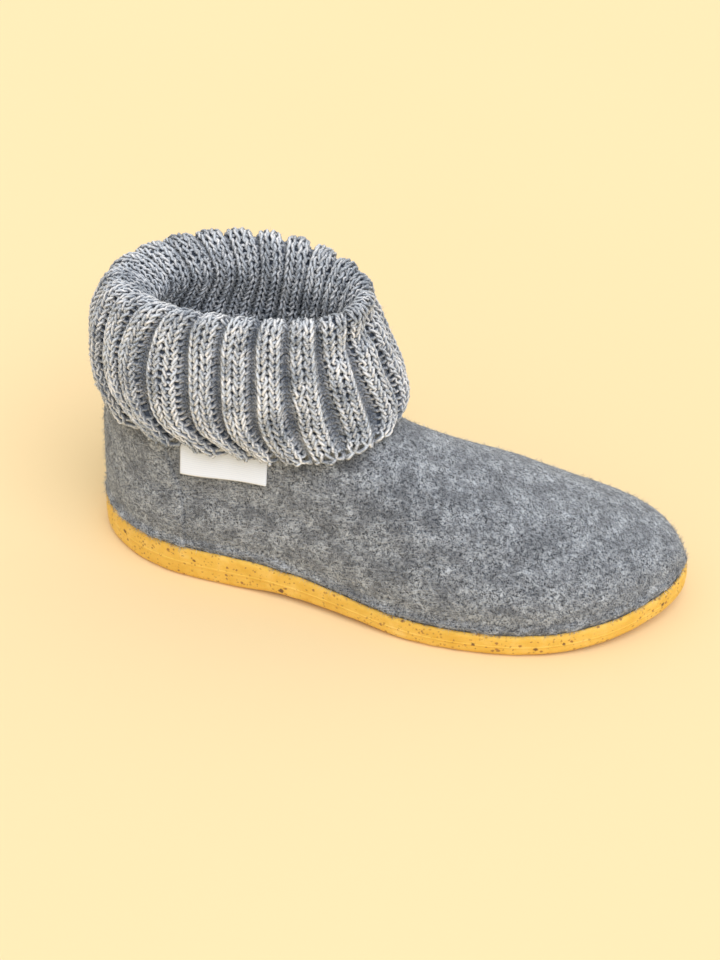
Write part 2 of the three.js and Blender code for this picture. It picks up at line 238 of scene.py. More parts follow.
def curveThrough(rows, values):
    # natural cubic: the bends are solved so that slope runs on through every row, and each span is the
    # straight line plus the cubes of the two shares times the bends
    at = np.asarray(rows, float)
    given = np.asarray(values, float)
    flat = given.reshape(len(at), -1)
    gaps = np.diff(at)
    system = np.eye(len(at))
    inner = np.arange(1, len(at) - 1)
    system[inner, inner - 1] = gaps[:-1]
    system[inner, inner] = 2 * (gaps[:-1] + gaps[1:])
    system[inner, inner + 1] = gaps[1:]
    load = np.zeros_like(flat)
    load[1:-1] = 6 * np.diff(np.diff(flat, axis=0) / gaps[:, None], axis=0)
    bends = np.linalg.solve(system, load)

    def curve(where):
        place = np.asarray(where, float)
        i = np.clip(np.searchsorted(at, place, side="right") - 1, 0, len(at) - 2)
        width = gaps[i][..., None]
        a = (at[i + 1] - place)[..., None] / width
        b = 1 - a
        line = a * flat[i] + b * flat[i + 1]
        full = line + ((a ** 3 - a) * bends[i] + (b ** 3 - b) * bends[i + 1]) * width ** 2 / 6
        return full.reshape(place.shape + given.shape[1:])

    return curve


noiseTable = random.random((32, 32, 32))


def softNoise(points, size, seed):
    # random heights on a cube grid of that size, eased between its eight corners, from -1 to 1
    place = np.asarray(points) / size + seed * 7.31
    cell = np.floor(place).astype(int)
    part = place - cell
    part = part * part * (3 - 2 * part)
    total = 0
    for corner in range(8):
        step = np.array([corner & 1, (corner >> 1) & 1, corner >> 2])
        weight = np.prod(np.where(step == 1, part, 1 - part), axis=-1)
        index = (cell + step) % 32
        total = total + weight * noiseTable[index[..., 0], index[..., 1], index[..., 2]]
    return 2 * total - 1


def unit(vectors):
    return vectors / np.maximum(np.linalg.norm(vectors, axis=-1, keepdims=True), 1e-12)


# The last: outline and levels of the sole, and the surface of the upper

planShares = [row[0] for row in sole["plan"]]
fullnessRows = [half / math.sqrt(4 * at * (1 - at)) for at, half, centre in sole["plan"]]
fullness = curveThrough([0] + planShares + [1], [sole["heelFullness"]] + fullnessRows + [sole["toeFullness"]])
centreRows = [row[2] for row in sole["plan"]]
centre = curveThrough([0] + planShares + [1], [0] + centreRows + [sole["toeCentre"]])
ridge = curveThrough([row[0] for row in felt["ridge"]], [row[1] for row in felt["ridge"]])
heelAhead = curveThrough([row[0] for row in felt["heelLine"]], [row[1] for row in felt["heelLine"]])
upperInset = sole["lipWidth"] + felt["lipGap"]


def centreLine(share):
    return sole["ballWidth"] * centre(share)


def rampBetween(share, limits):
    return smoothStep((share - limits[0]) / (limits[1] - limits[0]))


def springLift(share):
    # the toe rises with the square of the way past the spring's start
    return sole["toeSpring"] * clamp((share - sole["springStart"]) / (1 - sole["springStart"])) ** 2


def bottomLevel(share):
    # toe spring, plus a bevel behind the heel, plus the arch between its two ramps
    bevel = sole["heelBevel"] * clamp((sole["heelBevelEnd"] - share) / sole["heelBevelEnd"]) ** 2
    arch = rampBetween(share, sole["archRise"]) * (1 - rampBetween(share, sole["archFall"]))
    return springLift(share) + bevel + sole["archLift"] * arch


def topLevel(share):
    # heel thickness easing to the ball's, plus the toe spring
    thin = rampBetween(share, sole["thinning"])
    return sole["heelThickness"] + (sole["ballThickness"] - sole["heelThickness"]) * thin + springLift(share)


def outlineRing(count, inset):
    # half a turn for each side: the way along is half of one less the cosine, the half width is the
    # sine times the fullness there
    angle = fullTurn * np.arange(count) / count
    share = (1 - np.cos(angle)) / 2
    x = inset + (sole["length"] - 2 * inset) * share
    half = sole["ballWidth"] * fullness(share) - inset
    return x, centreLine(share) - np.sin(angle) * half


def ridgeHeight(share):
    # the ridge curve, rounded off over the toe by a power curve
    cap = clamp((share - felt["toeCapStart"]) / (1 - felt["toeCapStart"]))
    rounded = (1 - cap ** felt["toeCapPower"]) ** (1 / felt["toeCapRound"])
    return felt["instepHeight"] * ridge(share) * rounded


ridgeShares = np.linspace(0, 1, 6001)
ridgeLevels = ridgeHeight(ridgeShares)


def frontAt(height):
    # where the ridge comes down to a height, read back from its curve
    share = np.interp(height, ridgeLevels[::-1], ridgeShares[::-1])
    return sole["length"] * np.minimum(share, 1 - upperInset / sole["length"])


def backAt(height):
    return upperInset + felt["collarHeight"] * heelAhead(height / felt["collarHeight"])


def lastPoint(angle, height):
    # at each height an outline from the heel line to the ridge line: the sole's half width there,
    # narrowed towards the ridge by a power curve and swollen low down by half a sine
    angle, height = np.broadcast_arrays(np.asarray(angle, float) % fullTurn, np.asarray(height, float))
    shaped = np.maximum(height, 0)
    back = backAt(shaped)
    front = frontAt(shaped)
    x = back + (front - back) * (1 - np.cos(angle)) / 2
    along = clamp((x - back) / (sole["length"] - upperInset - back))
    roundness = np.sqrt(4 * along * (1 - along))
    half = np.maximum(roundness * (sole["ballWidth"] * fullness(along) - upperInset), 0)
    lean = clamp(shaped / np.maximum(ridgeHeight(clamp(x / sole["length"])), 0.01))
    narrowing = (1 - lean ** felt["crossPower"]) ** (1 / felt["crossPower"])
    swell = 1 + felt["sideBulge"] * np.sin(math.pi * clamp(shaped / (felt["bulgeTop"] * felt["collarHeight"])))
    side = np.where(angle > math.pi, 1, -1)
    y = centreLine(along) + side * half * narrowing * swell
    return np.stack([x, y, topLevel(x / sole["length"]) + height], axis=-1)


def lastNormal(angle, height):
    # small steps round and up the surface, crossed
    turn = 0.004
    lift = 0.05
    shaped = np.maximum(height, lift)
    around = lastPoint(angle + turn, shaped) - lastPoint(angle - turn, shaped)
    upward = lastPoint(angle, shaped + lift) - lastPoint(angle, shaped - lift)
    normal = np.cross(around, upward)
    normal[..., 2] = np.where(np.broadcast_to(height, normal.shape[:-1]) <= 0, 0, normal[..., 2])
    return unit(normal)


def offsetPoint(angle, height, distance):
    away = np.asarray(distance, float)
    return lastPoint(angle, height) + lastNormal(angle, height) * away[..., None]


def angleAt(x, height):
    back = backAt(height)
    return np.arccos(np.clip(1 - 2 * (x - back) / (frontAt(height) - back), -1, 1))


def seamPlace(height):
    # the heel panel's seam leans back from its low place to its high one
    rise = smoothStep((height / felt["collarHeight"] - felt["seamBend"]) / (1 - felt["seamBend"]))
    return sole["length"] * (felt["seamLow"] + (felt["seamHigh"] - felt["seamLow"]) * rise)


outlineX, outlineY = outlineRing(sole["columns"], 0)
origin = np.array([soleLow[0], soleLow[1] - outlineY.min() * millimetre, 0])


# Meshes

def gridFaces(rows, columns, joinRows=False, start=0):
    # squares between neighbouring rows and columns; the columns always run round
    low = np.arange(rows if joinRows else rows - 1)[:, None] * columns
    high = (low + columns) % (rows * columns)
    left = np.arange(columns)[None, :]
    right = (left + 1) % columns
    corners = np.stack([low + left, low + right, high + right, high + left], axis=-1)
    return corners.reshape(-1, 4) + start


def turnOutwards(points, faces):
    # the sum of the wedges from the origin is negative when the faces look inwards
    a, b, c = points[faces[:, 0]], points[faces[:, 1]], points[faces[:, 2]]
    wedges = np.einsum("ij,ij->", a, np.cross(b, c))
    if faces.shape[1] == 4:
        wedges += np.einsum("ij,ij->", a, np.cross(c, points[faces[:, 3]]))
    return faces if wedges > 0 else faces[:, ::-1]


def makePiece(name, points, faces, material, uv=None, depth=None, merge=False):
    # points in millimetres are scaled and moved to the frame, and every list goes in as one array
    place = np.asarray(points, float).reshape(-1, 3)
    ordered = turnOutwards(place - place.mean(axis=0), faces)
    if uv is not None and ordered is not faces:
        uv = uv.reshape(-1, faces.shape[1], 2)[:, ::-1]
    mesh = bpy.data.meshes.new(name)
    mesh.vertices.add(len(place))
    mesh.vertices.foreach_set("co", (place * millimetre + origin).ravel())
    mesh.loops.add(ordered.size)
    mesh.loops.foreach_set("vertex_index", ordered.ravel().astype(np.int32))
    mesh.polygons.add(len(ordered))
    starts = np.arange(len(ordered), dtype=np.int32) * ordered.shape[1]
    mesh.polygons.foreach_set("loop_start", starts)
    mesh.update(calc_edges=True)
    if uv is not None:
        layer = mesh.uv_layers.new(name="UVMap")
        layer.uv.foreach_set("vector", np.ascontiguousarray(uv).ravel().astype(np.float32))
    if depth is not None:
        layer = mesh.attributes.new("depth", "FLOAT", "POINT")
        layer.data.foreach_set("value", np.ascontiguousarray(depth).ravel().astype(np.float32))
    if merge:
        work = bmesh.new()
        work.from_mesh(mesh)
        bmesh.ops.remove_doubles(work, verts=work.verts, dist=1e-6)
        work.to_mesh(mesh)
        work.free()
    mesh.shade_smooth()
    mesh.materials.append(material)
    piece = bpy.data.objects.new(name, mesh)
    bpy.context.collection.objects.link(piece)
    return piece


def finishPiece(piece, node):
    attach(piece, "root")
    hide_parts(node)


def closeToSpine(ring, rows):
    # rings that shrink to the line half way between each point and its mirror across the foot
    mirror = np.roll(ring[::-1], 1, axis=0)
    spine = (ring + mirror) / 2
    shares = np.linspace(1, 0, rows + 1)[1:, None, None]
    return spine + (ring - spine) * shares


def makeFibres(name, roots, directions, lengths, radius, material):
    # each fibre is a three-sided spike: its middle runs out along its direction and sideways with the
    # square of the way, and it thins towards its tip
    count = len(roots)
    lean = unit(np.cross(directions, random.normal(size=(count, 3))))
    curl = random.uniform(-0.7, 0.7, (count, 1)) * lengths[:, None]
    shares = np.array([0, 0.5])
    middles = roots[:, None] + directions[:, None] * (lengths[:, None] * shares)[..., None]
    middles = middles + lean[:, None] * (curl * shares ** 2)[..., None]
    tips = roots + directions * lengths[:, None] + lean * curl
    across = unit(np.cross(directions, lean))
    angles = fullTurn * np.arange(3) / 3
    ring = lean[:, None] * np.cos(angles)[None, :, None] + across[:, None] * np.sin(angles)[None, :, None]
    thick = radius * (1 - 0.5 * shares)
    sides = middles[:, :, None] + ring[:, None] * thick[None, :, None, None]
    points = np.concatenate([sides.reshape(count, 6, 3), tips[:, None]], axis=1)
    walls = [[0, 1, 4], [0, 4, 3], [1, 2, 5], [1, 5, 4], [2, 0, 3], [2, 3, 5]]
    spike = walls + [[3, 4, 6], [4, 5, 6], [5, 3, 6], [0, 2, 1]]
    faces = (np.arange(count) * 7)[:, None, None] + np.array(spike)[None]
    return makePiece(name, points, faces.reshape(-1, 3), material)


# Materials

def addNode(tree, kind, settings=None, links=None):
    # one node with its settings; a link is a plain value or another node's output socket
    node = tree.nodes.new(kind)
    for key, value in (settings or {}).items():
        setattr(node, key, value)
    for key, value in (links or {}).items():
        if isinstance(value, bpy.types.NodeSocket):
            tree.links.new(value, node.inputs[key])
        else:
            node.inputs[key].default_value = value
    return node


def newMaterial(name):
    material = bpy.data.materials.new(name)
    material.use_nodes = True
    material.node_tree.nodes.clear()
    return material, material.node_tree


def paintSteps(node, colours):
    # colour stops of a ramp: place and hex colour
    steps = list(colours)
    stops = node.color_ramp.elements
    while len(stops) < len(steps):
        stops.new(0.5)
    for stop, (place, colour) in zip(stops, steps):
        stop.position = place
        stop.color = linearColour(colour)


def makeFeltMaterial(name, look):
    # fulled wool felt: matt, with blended dark and light fibres in grains of about 1 mm, soft clouds
    # where the blend varies, and a short nap that catches light at the edges
    material, tree = newMaterial(name)
    place = addNode(tree, "ShaderNodeTexCoord").outputs["Object"]
    inMillimetres = addNode(tree, "ShaderNodeMapping", None, {"Vector": place, "Scale": (1000, 1000, 1000)})
    spot = inMillimetres.outputs["Vector"]
    clouds = addNode(tree, "ShaderNodeTexNoise", None,
                     {"Vector": spot, "Scale": 1 / look["cloudSize"], "Detail": 4, "Roughness": 0.6})
    grain = addNode(tree, "ShaderNodeTexNoise", None,
                    {"Vector": spot, "Scale": 1 / look["grainSize"], "Detail": 3, "Roughness": 0.62,
                     "Distortion": 0.6})
    # strands: noise drawn out along four directions, and only its crests kept
    strandShare = None
    for turned in look["strandTurns"]:
        laid = addNode(tree, "ShaderNodeMapping", None, {"Vector": spot, "Rotation": turned})
        drawn = addNode(tree, "ShaderNodeMapping", None,
                        {"Vector": laid.outputs["Vector"],
                         "Scale": (1 / look["strandLength"], 1 / look["strandWidth"], 1 / look["strandWidth"])})
        crests = addNode(tree, "ShaderNodeTexNoise", None,
                         {"Vector": drawn.outputs["Vector"], "Scale": 1.0, "Detail": 1, "Roughness": 0.5,
                          "Distortion": look["strandCurl"]})
        kept = addNode(tree, "ShaderNodeMapRange", None,
                       {"Value": crests.outputs["Fac"], "From Min": 0.53, "From Max": 0.7})
        if strandShare is None:
            strandShare = kept.outputs["Result"]
        else:
            strandShare = addNode(tree, "ShaderNodeMath", {"operation": "MAXIMUM"},
                                  {0: strandShare, 1: kept.outputs["Result"]}).outputs["Value"]
    level = addNode(tree, "ShaderNodeMath", {"operation": "MULTIPLY_ADD"},
                    {0: grain.outputs["Fac"], 1: look["grainShare"], 2: 0.5 - look["grainShare"] / 2})
    ramp = addNode(tree, "ShaderNodeValToRGB", None, {"Fac": level.outputs["Value"]})
    paintSteps(ramp, look["colours"])
    shown = addNode(tree, "ShaderNodeMath", {"operation": "MULTIPLY"}, {0: strandShare, 1: look["strandMix"]})
    streaked = addNode(tree, "ShaderNodeMix", {"data_type": "RGBA"},
                       {"Factor": shown.outputs["Value"], 6: ramp.outputs["Color"],
                        7: linearColour(look["strandColour"])})
    shade = addNode(tree, "ShaderNodeMapRange", None,
                    {"Value": clouds.outputs["Fac"], "From Min": 0.36, "From Max": 0.62,
                     "To Min": look["cloudShare"], "To Max": 0.0})
    clouded = addNode(tree, "ShaderNodeMix", {"data_type": "RGBA"},
                      {"Factor": shade.outputs["Result"], 6: streaked.outputs[2],
                       7: linearColour(look["cloudColour"])})
    height = addNode(tree, "ShaderNodeMath", {"operation": "MULTIPLY_ADD"},
                     {0: strandShare, 1: 0.35, 2: grain.outputs["Fac"]})
    bump = addNode(tree, "ShaderNodeBump", None,
                   {"Height": height.outputs["Value"], "Strength": look["bumpStrength"],
                    "Distance": look["bumpDepth"] * millimetre})
    shader = addNode(tree, "ShaderNodeBsdfPrincipled", None,
                     {"Base Color": clouded.outputs[2], "Roughness": 0.95, "Normal": bump.outputs["Normal"],
                      "Specular IOR Level": 0.15, "Sheen Weight": look["sheen"], "Sheen Roughness": 0.55,
                      "Sheen Tint": linearColour("#dfe4ea")})
    addNode(tree, "ShaderNodeOutputMaterial", None, {"Surface": shader.outputs["BSDF"]})
    return material


def makeYarnMaterial(name, look):
    # woollen yarn of two plies twisted together, one light and one grey, so that short light strokes
    # wind round it; matt, with a soft halo of loose fibre; painted shade darkens the grooves between
    # the plies, the yarn's flanks and the deep parts of the knit, leaving a painted highlight along
    # the side of the yarn that faces out
    material, tree = newMaterial(name)
    uvPlace = addNode(tree, "ShaderNodeUVMap", {"uv_map": "UVMap"}).outputs["UV"]
    parts = addNode(tree, "ShaderNodeSeparateXYZ", None, {"Vector": uvPlace})
    place = addNode(tree, "ShaderNodeTexCoord").outputs["Object"]
    inMillimetres = addNode(tree, "ShaderNodeMapping", None, {"Vector": place, "Scale": (1000, 1000, 1000)})
    spot = inMillimetres.outputs["Vector"]
    turned = addNode(tree, "ShaderNodeMath", {"operation": "SUBTRACT"},
                     {0: parts.outputs["Y"], 1: parts.outputs["X"]})
    angle = addNode(tree, "ShaderNodeMath", {"operation": "MULTIPLY"}, {0: turned.outputs["Value"], 1: fullTurn})
    wave = addNode(tree, "ShaderNodeMath", {"operation": "COSINE"}, {0: angle.outputs["Value"]})
    lobe = addNode(tree, "ShaderNodeMath", {"operation": "ABSOLUTE"}, {0: wave.outputs["Value"]})
    strands = addNode(tree, "ShaderNodeTexNoise", None,
                      {"Vector": spot, "Scale": 1 / look["strandSize"], "Detail": 2, "Roughness": 0.6,
                       "Distortion": 0.8})
    drift = addNode(tree, "ShaderNodeTexNoise", None,
                    {"Vector": spot, "Scale": 1 / look["driftSize"], "Detail": 2, "Roughness": 0.5})
    plyShare = addNode(tree, "ShaderNodeMapRange", None,
                       {"Value": wave.outputs["Value"], "From Min": -0.6, "From Max": 0.6})
    plies = addNode(tree, "ShaderNodeMix", {"data_type": "RGBA"},
                    {"Factor": plyShare.outputs["Result"], 6: linearColour(look["greyPly"]),
                     7: linearColour(look["lightPly"])})
    heather = addNode(tree, "ShaderNodeMath", {"operation": "ADD"},
                      {0: strands.outputs["Fac"], 1: drift.outputs["Fac"]})
    heatherShare = addNode(tree, "ShaderNodeMapRange", None,
                           {"Value": heather.outputs["Value"], "From Min": look["heatherFrom"],
                            "From Max": look["heatherTo"]})
    heathered = addNode(tree, "ShaderNodeMix", {"data_type": "RGBA"},
                        {"Factor": heatherShare.outputs["Result"], 6: linearColour(look["darkFibreAndPlyShade"]),
                         7: plies.outputs[2]})
    # painted shade: the grooves between the two plies, where the lobe of the twist falls to nothing, are darkened
    # towards the dark fibre colour
    groove = addNode(tree, "ShaderNodeMapRange", None,
                     {"Value": lobe.outputs["Value"], "From Min": 0.0, "From Max": 0.45, "To Min": look["groove"],
                      "To Max": 0.0})
    plyShaded = addNode(tree, "ShaderNodeMix", {"data_type": "RGBA"},
                      {"Factor": groove.outputs["Result"], 6: heathered.outputs[2],
                       7: linearColour(look["darkFibreAndPlyShade"])})
    # painted shade and highlight: the yarn's flanks, turned away from the cuff's outside, are darkened so that a
    # bright core runs down the side that faces out
    roundYarn = addNode(tree, "ShaderNodeMath", {"operation": "MULTIPLY"}, {0: parts.outputs["Y"], 1: fullTurn})
    facing = addNode(tree, "ShaderNodeMath", {"operation": "COSINE"}, {0: roundYarn.outputs["Value"]})
    flankShade = addNode(tree, "ShaderNodeMapRange", None,
                    {"Value": facing.outputs["Value"], "From Min": look["flankShadeFrom"], "From Max": look["flankShadeTo"],
                     "To Min": look["flankShade"], "To Max": 0.0})
    flankShaded = addNode(tree, "ShaderNodeMix", {"data_type": "RGBA"},
                      {"Factor": flankShade.outputs["Result"], 6: plyShaded.outputs[2],
                       7: linearColour(look["flankShadeColour"])})
    # painted shade: yarn that lies deep in the knit, in the purl grooves and below the rib crests, is darkened by its
    # depth below the sheet
    depth = addNode(tree, "ShaderNodeAttribute", {"attribute_name": "depth"}).outputs["Fac"]
    depthShade = addNode(tree, "ShaderNodeMapRange", None,
                   {"Value": depth, "From Min": look["depthShadeFrom"], "From Max": look["depthShadeTo"],
                    "To Min": look["depthShade"], "To Max": 0.0})
    shaded = addNode(tree, "ShaderNodeMix", {"data_type": "RGBA"},
                     {"Factor": depthShade.outputs["Result"], 6: flankShaded.outputs[2],
                      7: linearColour(look["depthShadeColour"])})
    height = addNode(tree, "ShaderNodeMath", {"operation": "MULTIPLY_ADD"},
                     {0: strands.outputs["Fac"], 1: 0.6, 2: lobe.outputs["Value"]})
    bump = addNode(tree, "ShaderNodeBump", None,
                   {"Height": height.outputs["Value"], "Strength": 0.9, "Distance": 0.3 * millimetre})
    shader = addNode(tree, "ShaderNodeBsdfPrincipled", None,
                     {"Base Color": shaded.outputs[2], "Roughness": 0.9, "Normal": bump.outputs["Normal"],
                      "Specular IOR Level": 0.2, "Sheen Weight": 0.35, "Sheen Roughness": 0.5,
                      "Sheen Tint": linearColour("#eef1f3")})
    addNode(tree, "ShaderNodeOutputMaterial", None, {"Surface": shader.outputs["BSDF"]})
    return material


def makePlainWool(name, colour, roughness):
    # loose wool fibre, or the painted shade in the depth of the knit: matt, with a little variation from fibre to
    # fibre
    material, tree = newMaterial(name)
    place = addNode(tree, "ShaderNodeTexCoord").outputs["Object"]
    tone = addNode(tree, "ShaderNodeTexNoise", None, {"Vector": place, "Scale": 400.0, "Detail": 2})
    ramp = addNode(tree, "ShaderNodeValToRGB", None, {"Fac": tone.outputs["Fac"]})
    paintSteps(ramp, colour)
    shader = addNode(tree, "ShaderNodeBsdfPrincipled", None,
                     {"Base Color": ramp.outputs["Color"], "Roughness": roughness, "Specular IOR Level": 0.2})
    addNode(tree, "ShaderNodeOutputMaterial", None, {"Surface": shader.outputs["BSDF"]})
    return material


def makeRubberMaterial(name, look):
    # moulded foamed natural rubber: warm yellow, half matt, faintly translucent, with ground bark and
    # cork specks of 0.3 to 1.5 mm and a fine moulded grain
    material, tree = newMaterial(name)
    place = addNode(tree, "ShaderNodeTexCoord").outputs["Object"]
    inMillimetres = addNode(tree, "ShaderNodeMapping", None, {"Vector": place, "Scale": (1000, 1000, 1000)})
    spot = inMillimetres.outputs["Vector"]
    warp = addNode(tree, "ShaderNodeTexNoise", None, {"Vector": spot, "Scale": 0.9, "Detail": 2})
    warped = addNode(tree, "ShaderNodeVectorMath", {"operation": "MULTIPLY_ADD"},
                     {0: warp.outputs["Color"], 1: (1.5, 1.5, 1.5), 2: spot})
    clouds = addNode(tree, "ShaderNodeTexNoise", None,
                     {"Vector": spot, "Scale": 1 / look["cloudSize"], "Detail": 3, "Roughness": 0.6})
    ramp = addNode(tree, "ShaderNodeValToRGB", None, {"Fac": clouds.outputs["Fac"]})
    paintSteps(ramp, look["colours"])
    colour = ramp.outputs["Color"]
    for cellSize, speckSize, keep, tint in look["specks"]:
        cells = addNode(tree, "ShaderNodeTexVoronoi", None,
                        {"Vector": warped.outputs["Vector"], "Scale": 1 / cellSize, "Randomness": 1.0})
        chance = addNode(tree, "ShaderNodeSeparateColor", None, {"Color": cells.outputs["Color"]})
        chosen = addNode(tree, "ShaderNodeMath", {"operation": "LESS_THAN"},
                         {0: chance.outputs["Red"], 1: keep})
        reach = addNode(tree, "ShaderNodeMath", {"operation": "MULTIPLY_ADD"},
                        {0: chance.outputs["Green"], 1: speckSize / cellSize, 2: 0.25 * speckSize / cellSize})
        inner = addNode(tree, "ShaderNodeMath", {"operation": "MULTIPLY"}, {0: reach.outputs["Value"], 1: 0.6})
        inside = addNode(tree, "ShaderNodeMapRange", None,
                         {"Value": cells.outputs["Distance"], "From Min": reach.outputs["Value"],
                          "From Max": inner.outputs["Value"]})
        share = addNode(tree, "ShaderNodeMath", {"operation": "MULTIPLY"},
                        {0: chosen.outputs["Value"], 1: inside.outputs["Result"]})
        layer = addNode(tree, "ShaderNodeMix", {"data_type": "RGBA"},
                        {"Factor": share.outputs["Value"], 6: colour, 7: linearColour(tint)})
        colour = layer.outputs[2]
    grain = addNode(tree, "ShaderNodeTexNoise", None,
                    {"Vector": spot, "Scale": 1 / look["grainSize"], "Detail": 3, "Roughness": 0.6})
    bump = addNode(tree, "ShaderNodeBump", None,
                   {"Height": grain.outputs["Fac"], "Strength": 0.5, "Distance": 0.25 * millimetre})
    rough = addNode(tree, "ShaderNodeMapRange", None,
                    {"Value": grain.outputs["Fac"], "To Min": 0.5, "To Max": 0.72})
    shader = addNode(tree, "ShaderNodeBsdfPrincipled", None,
                     {"Base Color": colour, "Roughness": rough.outputs["Result"], "Normal": bump.outputs["Normal"],
                      "IOR": 1.52, "Specular IOR Level": 0.4, "Subsurface Weight": 0.12,
                      "Subsurface Radius": (1.0, 0.5, 0.15), "Subsurface Scale": 2 * millimetre})
    addNode(tree, "ShaderNodeOutputMaterial", None, {"Surface": shader.outputs["BSDF"]})
    return material


def makeTapeMaterial(name, look):
    # woven polyester tape: white, fine plain weave of about 0.5 mm threads drawn a little coarse so
    # that it shows, with a faint satin sheen
    material, tree = newMaterial(name)
    uvPlace = addNode(tree, "ShaderNodeUVMap", {"uv_map": "UVMap"}).outputs["UV"]
    warpThreads = addNode(tree, "ShaderNodeTexWave", {"bands_direction": "X"},
                          {"Vector": uvPlace, "Scale": look["warpCount"], "Distortion": 0.4, "Detail": 1})
    weftThreads = addNode(tree, "ShaderNodeTexWave", {"bands_direction": "Y"},
                          {"Vector": uvPlace, "Scale": look["weftCount"], "Distortion": 0.4, "Detail": 1})
    weave = addNode(tree, "ShaderNodeMath", {"operation": "ADD"},
                    {0: warpThreads.outputs["Fac"], 1: weftThreads.outputs["Fac"]})
    ramp = addNode(tree, "ShaderNodeValToRGB", None, {"Fac": weave.outputs["Value"]})
    paintSteps(ramp, look["colours"])
    bump = addNode(tree, "ShaderNodeBump", None,
                   {"Height": weave.outputs["Value"], "Strength": 0.35, "Distance": 0.12 * millimetre})
    shader = addNode(tree, "ShaderNodeBsdfPrincipled", None,
                     {"Base Color": ramp.outputs["Color"], "Roughness": 0.6, "Normal": bump.outputs["Normal"],
                      "Sheen Weight": 0.2})
    addNode(tree, "ShaderNodeOutputMaterial", None, {"Surface": shader.outputs["BSDF"]})
    return material


feltLook = {
    "cloudSize": 8, "cloudShare": 0.62, "cloudColour": "#30343d",
    "grainSize": 1.6, "grainShare": 2.8,
    "strandLength": 5.0, "strandWidth": 0.7, "strandCurl": 0.6, "strandMix": 0.75,
    "strandColour": "#cdd2da",
    "strandTurns": [(0.3, 0.2, 0.1), (0.4, 1.1, 0.9), (1.3, 0.5, 1.9), (0.9, 2.2, 2.6)],
    "colours": [(0.0, "#080b10"), (0.34, "#383e47"), (0.62, "#727a85"), (1.0, "#cad1da")],
    "bumpStrength": 1.0, "bumpDepth": 0.9, "sheen": 0.5,
}

footbedLook = dict(feltLook, bumpDepth=0.4, sheen=0.2)

yarnLook = {
    # the dark fibre colour serves both the heather's dark fibres and the painted shade in the grooves between the
    # plies; groove is how much of that painted shade is laid
    "lightPly": "#fdfdff", "greyPly": "#e1e7ef", "darkFibreAndPlyShade": "#868e98",
    "groove": 0.3, "strandSize": 0.6, "driftSize": 11, "heatherFrom": 0.78, "heatherTo": 1.12,
    # painted shade on the yarn's flanks: its colour, its strength and the span of facing over which it fades
    "flankShadeColour": "#525966", "flankShade": 0.78, "flankShadeFrom": 0.32, "flankShadeTo": 1.05,
    # painted shade for the yarn deep in the knit: its colour, its strength and the depths over which it fades
    "depthShadeColour": "#313c4f", "depthShade": 0.72, "depthShadeFrom": -3.0, "depthShadeTo": 0.1,
}

rubberLook = {
    "cloudSize": 9, "grainSize": 0.8,
    "colours": [(0.3, "#dcad43"), (0.55, "#e7bb54"), (0.8, "#f1cb74")],
    # size of a cell, size of its speck, share of cells that hold one, colour
    "specks": [
        (1.6, 0.6, 0.5, "#bb8d40"),
        (2.3, 0.75, 0.42, "#a37640"),
        (5.2, 1.2, 0.24, "#785532"),
    ],
}

tapeLook = {
    "warpCount": 26, "weftCount": 12,
    "colours": [(0.1, "#d5dff2"), (0.6, "#e9f1ff")],
}

feltMaterial = makeFeltMaterial("woolFeltFulled", feltLook)
footbedMaterial = makeFeltMaterial("woolFeltPressed", footbedLook)
yarnMaterial = makeYarnMaterial("woolYarnTwoPly", yarnLook)
# the knit's backing is dark grey-blue, as painted shade between the loops
backingMaterial = makePlainWool("woolKnitDepthShade", [(0.3, "#3c4350"), (0.7, "#58606e")], 1.0)
napMaterial = makePlainWool("woolNapFibre", [(0.36, "#6c7077"), (0.5, "#a3a7ae"), (0.64, "#dadde3")], 0.8)
fuzzMaterial = makePlainWool("woolYarnFibre", [(0.35, "#b9bec1"), (0.65, "#e2e5e6")], 0.8)
rubberMaterial = makeRubberMaterial("naturalRubberMoulded", rubberLook)
tapeMaterial = makeTapeMaterial("polyesterTapeWoven", tapeLook)
print("materials made")


# Sole

